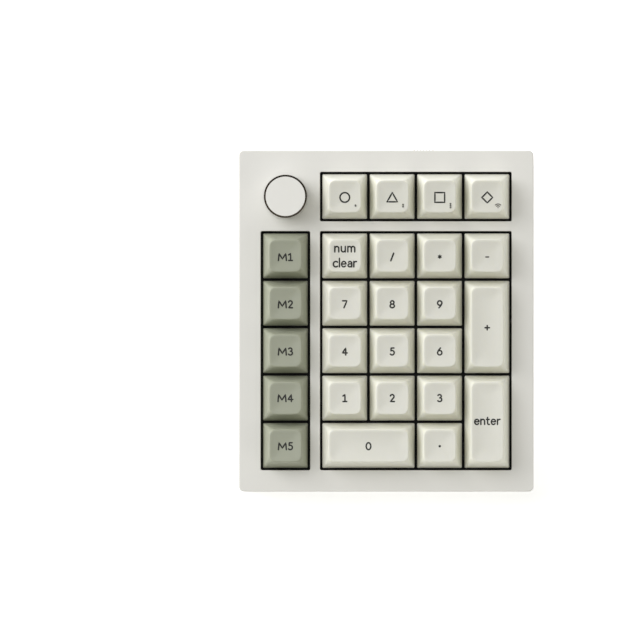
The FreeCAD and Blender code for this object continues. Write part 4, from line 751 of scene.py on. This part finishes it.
NUMERALS = {
    "0": (0.66, [arc(0.33, 0.5, 0.33, 0.5, 90, 450)]),
    "1": (0.56, [[(0.03, 0.8), (0.31, 1.0), (0.31, 0.0)], [(0.03, 0.0), (0.56, 0.0)]]),
    "2": (0.60, [arc(0.29, 0.72, 0.27, 0.28, 160, -28) + [(0.04, 0.0), (0.6, 0.0)]]),
    "3": (0.58, [arc(0.26, 0.76, 0.25, 0.24, 150, -80), arc(0.27, 0.27, 0.31, 0.27, 85, -145)]),
    "4": (0.68, [[(0.48, 0.0), (0.48, 1.0), (0.0, 0.29), (0.68, 0.29)]]),
    "5": (0.57, [[(0.53, 1.0), (0.12, 1.0), (0.09, 0.58)] + arc(0.26, 0.32, 0.31, 0.32, 112, -140)]),
    "6": (0.62, [arc(0.31, 0.32, 0.31, 0.32, 0, 360), [(0.03, 0.42), (0.1, 0.6), (0.24, 0.8), (0.42, 1.0)]]),
    "7": (0.62, [[(0.0, 1.0), (0.62, 1.0), (0.2, 0.0)]]),
    "8": (0.62, [arc(0.31, 0.76, 0.25, 0.24, 0, 360), arc(0.31, 0.265, 0.31, 0.265, 0, 360)]),
    "9": (0.62, [arc(0.31, 0.68, 0.31, 0.32, 0, 360), [(0.59, 0.58), (0.52, 0.4), (0.38, 0.2), (0.2, 0.0)]]),
    "M": (1.14, [[(0.0, 0.0), (0.08, 1.0), (0.57, 0.22), (1.06, 1.0), (1.14, 0.0)]]),
}
LETTERS = {
    "n": (0.74, [[(0, 0), (0, 1)], [(0, 0.58)] + arc(0.37, 0.62, 0.37, 0.38, 175, 0) + [(0.74, 0)]]),
    "u": (0.74, [[(0.74, 1), (0.74, 0)], [(0, 1)] + arc(0.37, 0.38, 0.37, 0.38, 180, 355)]),
    "m": (1.28, [[(0, 0), (0, 1)], [(0, 0.6)] + arc(0.32, 0.66, 0.32, 0.34, 175, 0) + [(0.64, 0)],
                 [(0.64, 0.6)] + arc(0.96, 0.66, 0.32, 0.34, 175, 0) + [(1.28, 0)]]),
    "c": (0.76, [arc(0.47, 0.5, 0.47, 0.5, 48, 312)]),
    "l": (0.0, [[(0, 0), (0, 1.58)]]),
    "e": (0.84, [[(0.02, 0.53), (0.84, 0.53)] + arc(0.43, 0.5, 0.42, 0.5, 8, 318)]),
    "a": (0.68, [[(0.68, 0), (0.68, 0.64)] + arc(0.36, 0.66, 0.32, 0.34, 0, 148),
                 [(0.68, 0.57), (0.36, 0.55)] + arc(0.31, 0.28, 0.31, 0.28, 95, 275) + [(0.5, 0.04), (0.68, 0.2)]]),
    "r": (0.46, [[(0, 0), (0, 1)], [(0, 0.56)] + arc(0.42, 0.56, 0.42, 0.43, 175, 80)]),
    "t": (0.54, [[(0.2, 1.36)] + arc(0.46, 0.27, 0.26, 0.27, 180, 290), [(0, 0.98), (0.52, 0.98)]]),
}
print("signs:", "".join(NUMERALS) + "".join(LETTERS))

# %% Words from signs
STROKE = 0.62
WORD_STROKE = 0.6
DIGIT_HEIGHT = 2.78          # middle of the strokes, in millimetres
WORD_HEIGHT = 2.16


def write(word, signs, height, width=None, gap=0.42):
    """Strokes of a word, centred across; the gaps stretch until the word has its width."""
    widths = [signs[sign][0] * height for sign in word]
    if width is not None and len(word) > 1:
        gap = (width - sum(widths)) / (len(word) - 1) / height
    total = sum(widths) + gap * height * (len(word) - 1)
    strokes, start = [], -total / 2
    for sign, sign_width in zip(word, widths):
        strokes += [[(start + x * height, y * height) for x, y in stroke] for stroke in signs[sign][1]]
        start += sign_width + gap * height
    return strokes


def lift(strokes, x, y):
    """The same strokes, moved."""
    return [[(px + x, py + y) for px, py in stroke] for stroke in strokes]


def closed(points):
    return points + points[:1]


def spokes(count, length):
    """Straight strokes out of one point, the first straight up."""
    turns = [math.radians(90 + 360 * step / count) for step in range(count)]
    return [[(0, 0), (length * math.cos(turn), length * math.sin(turn))] for turn in turns]


print("num is", len(write("num", LETTERS, WORD_HEIGHT)), "strokes")

# %% One legend for every key
SIGN_DROP = -0.3             # the signs sit a little under the middle of a cap
ROW_SHIFTS = (0.1, 0.36, 0.0, -0.12, -0.2, -0.14)   # and a little differently from row to row
legends = {}
for digit in "0123456789":
    strokes = write(digit, NUMERALS, DIGIT_HEIGHT)
    legends[f"key_{digit}"] = (lift(strokes, 0, SIGN_DROP - DIGIT_HEIGHT / 2), STROKE)
for number in "12345":
    legends[f"key_m{number}"] = (lift(write("M" + number, NUMERALS, DIGIT_HEIGHT, gap=0.3), 0,
                                      SIGN_DROP - DIGIT_HEIGHT / 2), STROKE)
legends.update({
    "key_circle": ([arc(0, SIGN_DROP, 1.93, 1.93, 0, 360)], STROKE),
    "key_triangle": ([closed([(-2.1, SIGN_DROP - 1.75), (2.1, SIGN_DROP - 1.75), (0, SIGN_DROP + 1.9)])], STROKE),
    "key_square": ([closed([(-1.95, SIGN_DROP - 1.95), (1.95, SIGN_DROP - 1.95), (1.95, SIGN_DROP + 1.95),
                            (-1.95, SIGN_DROP + 1.95)])], STROKE),
    "key_diamond": ([closed([(-2.15, SIGN_DROP), (0, SIGN_DROP - 2.15), (2.15, SIGN_DROP),
                             (0, SIGN_DROP + 2.15)])], STROKE),
    "key_clear": (lift(write("num", LETTERS, WORD_HEIGHT, 8.0), 0, 1.75)
                  + lift(write("clear", LETTERS, WORD_HEIGHT, 9.2), 0, -4.25), WORD_STROKE),
    "key_enter": (lift(write("enter", LETTERS, WORD_HEIGHT * 0.95, 10.1), 0, -1.1), WORD_STROKE),
    "key_plus": (lift(spokes(4, 0.85), 0, SIGN_DROP), STROKE),
    "key_minus": ([[(-0.58, SIGN_DROP), (0.58, SIGN_DROP)]], 0.5),
    "key_multiply": (lift(spokes(6, 0.64), 0, SIGN_DROP + 0.1), 0.5),
    "key_divide": ([[(-0.56, SIGN_DROP - 1.5), (0.56, SIGN_DROP + 1.5)]], STROKE + 0.04),
    "key_point": ([[(-0.02, SIGN_DROP), (0.02, SIGN_DROP)]], 1.0),
})
print("legends:", len(legends))

# %% [markdown]
# ## A tree that turns strokes into ribbons
# The strokes become a curve object. The tree cuts each run into short pieces so that it can bend with the
# dish, sweeps a flat oval along it, puts a round lens on both ends, and joins the two. The same tree makes
# every legend, with its stroke width and thickness as named inputs.

# %% Geometry tree helpers
def new_tree(name, inputs):
    """An empty geometry tree with named inputs and one geometry output."""
    tree = bpy.data.node_groups.new(name, "GeometryNodeTree")
    tree.interface.new_socket("Geometry", in_out="INPUT", socket_type="NodeSocketGeometry")
    for label, kind, value in inputs:
        socket = tree.interface.new_socket(label, in_out="INPUT", socket_type=kind)
        if value is not None:
            socket.default_value = value
    tree.interface.new_socket("Geometry", in_out="OUTPUT", socket_type="NodeSocketGeometry")
    return tree, tree.nodes.new("NodeGroupInput"), tree.nodes.new("NodeGroupOutput")


def finish_tree(tree, given, result, shape):
    """Every tree ends in real geometry with its finish."""
    real = add_node(tree, "GeometryNodeRealizeInstances", {"Geometry": shape})
    painted = add_node(tree, "GeometryNodeSetMaterial", {"Geometry": real.outputs[0],
                                                         "Material": given.outputs["Finish"]})
    tree.links.new(painted.outputs[0], result.inputs["Geometry"])


def grow(source, tree, values):
    """Runs a tree on an object and returns the result's points and faces; the object is removed."""
    modifier = source.modifiers.new("grow", "NODES")
    modifier.node_group = tree
    for item in tree.interface.items_tree:
        if item.item_type == "SOCKET" and item.in_out == "INPUT" and item.name in values:
            modifier[item.identifier] = values[item.name]
    graph = bpy.context.evaluated_depsgraph_get()
    mesh = bpy.data.meshes.new_from_object(source.evaluated_get(graph))
    points = np.array([vertex.co for vertex in mesh.vertices])
    faces = [tuple(face.vertices) for face in mesh.polygons]
    source.modifiers.remove(modifier)
    data = source.data
    bpy.data.objects.remove(source)
    bpy.data.meshes.remove(mesh)
    (bpy.data.curves if isinstance(data, bpy.types.Curve) else bpy.data.meshes).remove(data)
    return points, faces


print("geometry tree helpers ready")

# %% Tree: stroke ribbons
def ribbon_tree():
    """A flat oval along every stroke, with round ends."""
    tree, given, result = new_tree("Stroke Ribbons", [
        ("Stroke Width", "NodeSocketFloat", 0.44), ("Thickness", "NodeSocketFloat", 0.06),
        ("Cuts", "NodeSocketInt", 4), ("Finish", "NodeSocketMaterial", None)])
    half = add_node(tree, "ShaderNodeMath", {0: given.outputs["Stroke Width"], 1: 0.5}, operation="MULTIPLY")
    flat = add_node(tree, "ShaderNodeMath", {0: given.outputs["Thickness"], 1: given.outputs["Stroke Width"]},
                    operation="DIVIDE")
    fine = add_node(tree, "GeometryNodeSubdivideCurve", {"Curve": given.outputs["Geometry"],
                                                         "Cuts": given.outputs["Cuts"]})
    level = add_node(tree, "GeometryNodeSetCurveNormal", {"Curve": fine.outputs[0]}, mode="Z_UP")
    circle = add_node(tree, "GeometryNodeCurvePrimitiveCircle", {"Resolution": 8, "Radius": half.outputs[0]})
    squeeze = add_node(tree, "ShaderNodeCombineXYZ", {"X": 1.0, "Y": flat.outputs[0], "Z": 1.0})
    oval = add_node(tree, "GeometryNodeTransform", {"Geometry": circle.outputs[0], "Scale": squeeze.outputs[0]})
    ribbon = add_node(tree, "GeometryNodeCurveToMesh", {"Curve": level.outputs[0],
                                                        "Profile Curve": oval.outputs[0], "Fill Caps": True})
    ball = add_node(tree, "GeometryNodeMeshUVSphere", {"Segments": 12, "Rings": 4, "Radius": half.outputs[0]})
    squash = add_node(tree, "ShaderNodeCombineXYZ", {"X": 1.0, "Y": 1.0, "Z": flat.outputs[0]})
    lens = add_node(tree, "GeometryNodeTransform", {"Geometry": ball.outputs[0], "Scale": squash.outputs[0]})
    ends = add_node(tree, "GeometryNodeCurveEndpointSelection", {"Start Size": 1, "End Size": 1})
    lenses = add_node(tree, "GeometryNodeInstanceOnPoints", {"Points": given.outputs["Geometry"],
                                                             "Selection": ends.outputs[0],
                                                             "Instance": lens.outputs[0]})
    both = add_node(tree, "GeometryNodeJoinGeometry")
    tree.links.new(ribbon.outputs[0], both.inputs[0])
    tree.links.new(lenses.outputs[0], both.inputs[0])
    finish_tree(tree, given, result, both.outputs[0])
    return tree


RIBBONS = ribbon_tree()
print("tree:", RIBBONS.name, "with", len(RIBBONS.nodes), "nodes")

# %% Strokes to a flat shape
LEGEND_THICKNESS = 0.06


def stroke_curve(name, strokes):
    """A curve object with one straight-run spline for each stroke."""
    curve = bpy.data.curves.new(name, "CURVE")
    curve.dimensions = "3D"
    for stroke in strokes:
        loop = stroke[0] == stroke[-1] or math.dist(stroke[0], stroke[-1]) < 1e-6
        kept = stroke[:-1] if loop else stroke
        spline = curve.splines.new("POLY")
        spline.points.add(len(kept) - 1)
        spline.use_cyclic_u = loop
        for point, (x, y) in zip(spline.points, kept):
            point.co = (x, y, 0, 1)
    source = bpy.data.objects.new(name, curve)
    bpy.context.scene.collection.objects.link(source)
    return source


def lay_on_cap(points, place):
    """Bends flat points over a cap's dish and gives them their deck position."""
    x, y = points[:, 0], points[:, 1] + ROW_SHIFTS[place["row"]]
    height = CAP_BOTTOM + top_height(place, y) + dish_drop(place, x, y) + points[:, 2]
    return np.column_stack((x + place["x"], y + place["y"], height))


for body, (strokes, width) in legends.items():
    points, faces = grow(stroke_curve("strokes", strokes), RIBBONS,
                         {"Stroke Width": width, "Thickness": LEGEND_THICKNESS, "Cuts": 3,
                          "Finish": FINISHES["cap_legend"]})
    legend = make_piece(body.replace("key", "legend"), [(lay_on_cap(points, keys[body]), faces)], "cap_legend")
    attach(legend, body)
print("flat legend of key_5 is", np.round(np.ptp(points, axis=0), 2), "mm")

# %% [markdown]
# ## Small marks in the corners of the top row
# The first three keys of the top row carry a faint count of one, two or three dots, and the fourth a small
# fan of arcs. They are lighter than the legends, so they are pieces of their own with a paler finish.

# %% Corner marks
FINISHES["faint_mark"] = grained("faint_mark_moulding", linear(96, 96, 90), linear(88, 88, 82),
                                 grain=0.16, bump=0.006, roughness=0.55)
MARK_X, MARK_Y = 4.3, -3.6
DOT = 0.02
corner_marks = {
    "key_circle": [[(-DOT, 0.2), (DOT, -0.1)]],
    "key_triangle": [[(-DOT, 0.4), (DOT, 0.4)], [(-DOT, -0.4), (DOT, -0.4)]],
    "key_square": [[(-DOT, 0.75), (DOT, 0.75)], [(-DOT, 0), (DOT, 0)], [(-DOT, -0.75), (DOT, -0.75)]],
    "key_diamond": [[(-DOT, -0.8), (DOT, -0.8)], arc(0, -0.8, 0.8, 0.8, 45, 135),
                    arc(0, -0.8, 1.5, 1.5, 45, 135)],
}
for body, strokes in corner_marks.items():
    points, faces = grow(stroke_curve("strokes", lift(strokes, MARK_X, MARK_Y)), RIBBONS,
                         {"Stroke Width": 0.4 if body == "key_diamond" else 0.72, "Thickness": LEGEND_THICKNESS,
                          "Cuts": 2, "Finish": FINISHES["faint_mark"]})
    mark = make_piece(body.replace("key", "mark"), [(lay_on_cap(points, keys[body]), faces)], "faint_mark")
    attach(mark, body)
print("corner marks:", len(corner_marks))

# %% [markdown]
# ## Springs
# Inside every switch a wire spring lifts the stem. Its shape follows a rule, a helix with a round wire, so
# a tree with named sizes makes one coil, and each switch gets its own copy. The springs stay in the case.

# %% Tree: coil spring
def coil_tree():
    """A round wire along a helix."""
    tree, given, result = new_tree("Coil Spring", [
        ("Radius", "NodeSocketFloat", 2.35), ("Wire Radius", "NodeSocketFloat", 0.12),
        ("Height", "NodeSocketFloat", 4.8), ("Turns", "NodeSocketFloat", 9.0),
        ("Steps a Turn", "NodeSocketInt", 16), ("Finish", "NodeSocketMaterial", None)])
    helix = add_node(tree, "GeometryNodeCurveSpiral", {
        "Resolution": given.outputs["Steps a Turn"], "Rotations": given.outputs["Turns"],
        "Start Radius": given.outputs["Radius"], "End Radius": given.outputs["Radius"],
        "Height": given.outputs["Height"]})
    wire = add_node(tree, "GeometryNodeCurvePrimitiveCircle", {"Resolution": 6,
                                                               "Radius": given.outputs["Wire Radius"]})
    coil = add_node(tree, "GeometryNodeCurveToMesh", {"Curve": helix.outputs[0], "Profile Curve": wire.outputs[0],
                                                      "Fill Caps": True})
    finish_tree(tree, given, result, coil.outputs[0])
    return tree


COILS = coil_tree()
SPRING_BOTTOM = -4.0
SPRING_TOP = 1.0
SPRING_WIRE = 0.12
seed_mesh = bpy.data.objects.new("seed", bpy.data.meshes.new("seed"))
bpy.context.scene.collection.objects.link(seed_mesh)
coil_points, coil_faces = grow(seed_mesh, COILS, {
    "Radius": 2.35, "Wire Radius": SPRING_WIRE, "Height": SPRING_TOP - SPRING_BOTTOM - 2 * SPRING_WIRE,
    "Turns": 9.0, "Finish": FINISHES["spring_steel"]})
print("one spring:", len(coil_faces), "faces,", round(np.ptp(coil_points[:, 2]), 2), "mm tall")

# %% A spring in every switch
for body, place in keys.items():
    seat = np.array((place["x"], place["y"], SPRING_BOTTOM + SPRING_WIRE))
    spring = make_piece(body.replace("key", "spring"), [(coil_points + seat, coil_faces)], "spring_steel")
    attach(spring, "case")
    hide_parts("switch_springs")
    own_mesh(spring)
print("springs:", len(keys))

# %% [markdown]
# ## The knob
# The knob is turned from a bar: one profile swept round its axis. Its top is painted and flat, and the edge
# is cut afterwards with a sharp tool, which leaves a thin polished ring. The ring's dark colour is a painted
# reflection of dark surroundings. Paint and ring are two pieces, because they are two finishes.

# %% Turn the knob
KNOB_RADIUS = 8.65
KNOB_BOTTOM = 8.6
KNOB_TOP = 18.2
KNOB_RING = 0.62
LATHE_STEPS = 128
knob_points = on_deck("knob")
knob_centre = (knob_points.max(0) + knob_points.min(0))[:2] / 2


def lathe(profile, centre):
    """A closed profile of (radius, height) points swept round an axis."""
    turns = np.arange(LATHE_STEPS) * 2 * math.pi / LATHE_STEPS
    rings = [np.column_stack((centre[0] + radius * np.cos(turns), centre[1] + radius * np.sin(turns),
                              np.full(LATHE_STEPS, height))) for radius, height in profile]
    return rings


body_profile = [(2.0, 16.2), (3.06, 16.2), (3.06, 11.3), (3.3, 11.0), (6.6, 11.0), (6.6, 8.8), (6.8, 8.6),
                (KNOB_RADIUS - 0.3, KNOB_BOTTOM), (KNOB_RADIUS - 0.06, 8.7), (KNOB_RADIUS, 8.95),
                (KNOB_RADIUS, KNOB_TOP - KNOB_RING - 0.12), (KNOB_RADIUS - 0.1, KNOB_TOP - KNOB_RING - 0.06),
                (KNOB_RADIUS - KNOB_RING - 0.1, KNOB_TOP - 0.06),
                (KNOB_RADIUS - KNOB_RING - 0.12, KNOB_TOP - 0.02),
                (KNOB_RADIUS - KNOB_RING - 0.3, KNOB_TOP - 0.01), (6.0, KNOB_TOP - 0.03),
                (3.0, KNOB_TOP - 0.04),
                (1.0, KNOB_TOP - 0.04)]
ring_profile = [(KNOB_RADIUS - 0.14, KNOB_TOP - KNOB_RING - 0.14), (KNOB_RADIUS, KNOB_TOP - KNOB_RING - 0.1),
                (KNOB_RADIUS, KNOB_TOP - KNOB_RING), (KNOB_RADIUS - KNOB_RING, KNOB_TOP),
                (KNOB_RADIUS - KNOB_RING - 0.1, KNOB_TOP), (KNOB_RADIUS - KNOB_RING - 0.12, KNOB_TOP - 0.14)]
knob_body = make_piece("knob_body", [skin_rings(lathe(body_profile, knob_centre))], "knob_paint", sharp=25)
edge_shell = skin_rings(lathe(ring_profile, knob_centre), loop=True)
knob_edge = make_piece("knob_edge", [edge_shell], "knob_ring", sharp=25)
for piece in (knob_body, knob_edge):
    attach(piece, "knob")
    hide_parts("knob")
print("knob at", np.round(knob_centre, 2), "mm on the deck")

# %% [markdown]
# ## The setting
# A pale floor and two soft lamps. The main lamp stands high at the upper left, so that shadows fall short
# and soft to the lower right, and a wide low panel on the left brightens the walls that face it. The sky is
# pale, and a little warmer and dimmer on the far side, as in a room with one bright wall.

# %% Floor
FLOOR_HALF = 3.0
floor_mesh = bpy.data.meshes.new("floor")
floor_mesh.from_pydata([(-FLOOR_HALF, -FLOOR_HALF, 0), (FLOOR_HALF, -FLOOR_HALF, 0), (FLOOR_HALF, FLOOR_HALF, 0),
                        (-FLOOR_HALF, FLOOR_HALF, 0)], [], [(0, 1, 2, 3)])
floor = bpy.data.objects.new("floor", floor_mesh)
bpy.context.scene.collection.objects.link(floor)
floor.data.materials.append(grained("pale_floor", linear(251, 251, 251), linear(249, 249, 249), grain=2.0,
                                    bump=0.01, drift_size=300, roughness=0.9))
floor_shader = floor.data.materials[0].node_tree.nodes["Principled BSDF"]
floor_shader.inputs["Emission Color"].default_value = (1, 1, 1, 1)
floor_shader.inputs["Emission Strength"].default_value = 0.45
print("floor:", 2 * FLOOR_HALF, "m square")

# %% Lamps and sky
def lamp(name, across, back, up, size, power, colour=(1, 1, 1)):
    """A square soft lamp at a deck position in millimetres, aimed at the middle of the deck."""
    light = bpy.data.lights.new(name, "AREA")
    light.size = size
    light.energy = power
    light.color = colour
    place = Vector(to_desk((across, back, up)))
    holder = bpy.data.objects.new(name, light)
    aim = (place - Vector(ORIGIN)).to_track_quat("Z", "Y").to_matrix().to_4x4()
    holder.matrix_world = Matrix.Translation(place) @ aim
    bpy.context.scene.collection.objects.link(holder)
    return holder


lamp("main_lamp", -420, 420, 1500, 0.9, 3.1)
lamp("left_panel", -1250, 760, 950, 1.4, 22.0)
lamp("right_fill", 1300, -900, 700, 1.4, 6.0, (1.0, 0.99, 0.9))
SKY_STRENGTH = 0.63
sky = bpy.data.worlds.new("studio_sky")
sky.use_nodes = True
tree = sky.node_tree
background = tree.nodes["Background"]
direction = add_node(tree, "ShaderNodeTexCoord").outputs["Generated"]
side = add_node(tree, "ShaderNodeVectorMath", {0: direction, 1: (0.3, -0.95, -0.1)}, operation="DOT_PRODUCT")
share = add_node(tree, "ShaderNodeMapRange", {"Value": side.outputs["Value"], "From Min": -0.5, "From Max": 0.9})
tint = add_node(tree, "ShaderNodeMix", {"Factor": share.outputs["Result"], 6: (1.0, 1.0, 1.0, 1),
                                        7: (0.3, 0.29, 0.22, 1)}, data_type="RGBA")
tree.links.new(tint.outputs[2], background.inputs["Color"])
background.inputs["Strength"].default_value = SKY_STRENGTH
bpy.context.scene.world = sky
bpy.context.scene.view_settings.view_transform = "Standard"

# %% Camera
CAMERA_DISTANCE = 5000.0
CAMERA_ACROSS = -26.6
CAMERA_BACK = 0.42
camera_data = bpy.data.cameras.new("camera")
camera_data.lens = 699.0
camera_data.sensor_width = 36.0
camera_data.clip_end = 20.0
camera = bpy.data.objects.new("camera", camera_data)
camera.matrix_world = (Matrix.Translation(Vector(to_desk((CAMERA_ACROSS, CAMERA_BACK, CAMERA_DISTANCE))))
                       @ DECK_TURN.to_4x4())
bpy.context.scene.collection.objects.link(camera)
bpy.context.scene.camera = camera
print("camera height:", round(camera.matrix_world.translation.z, 3), "m")
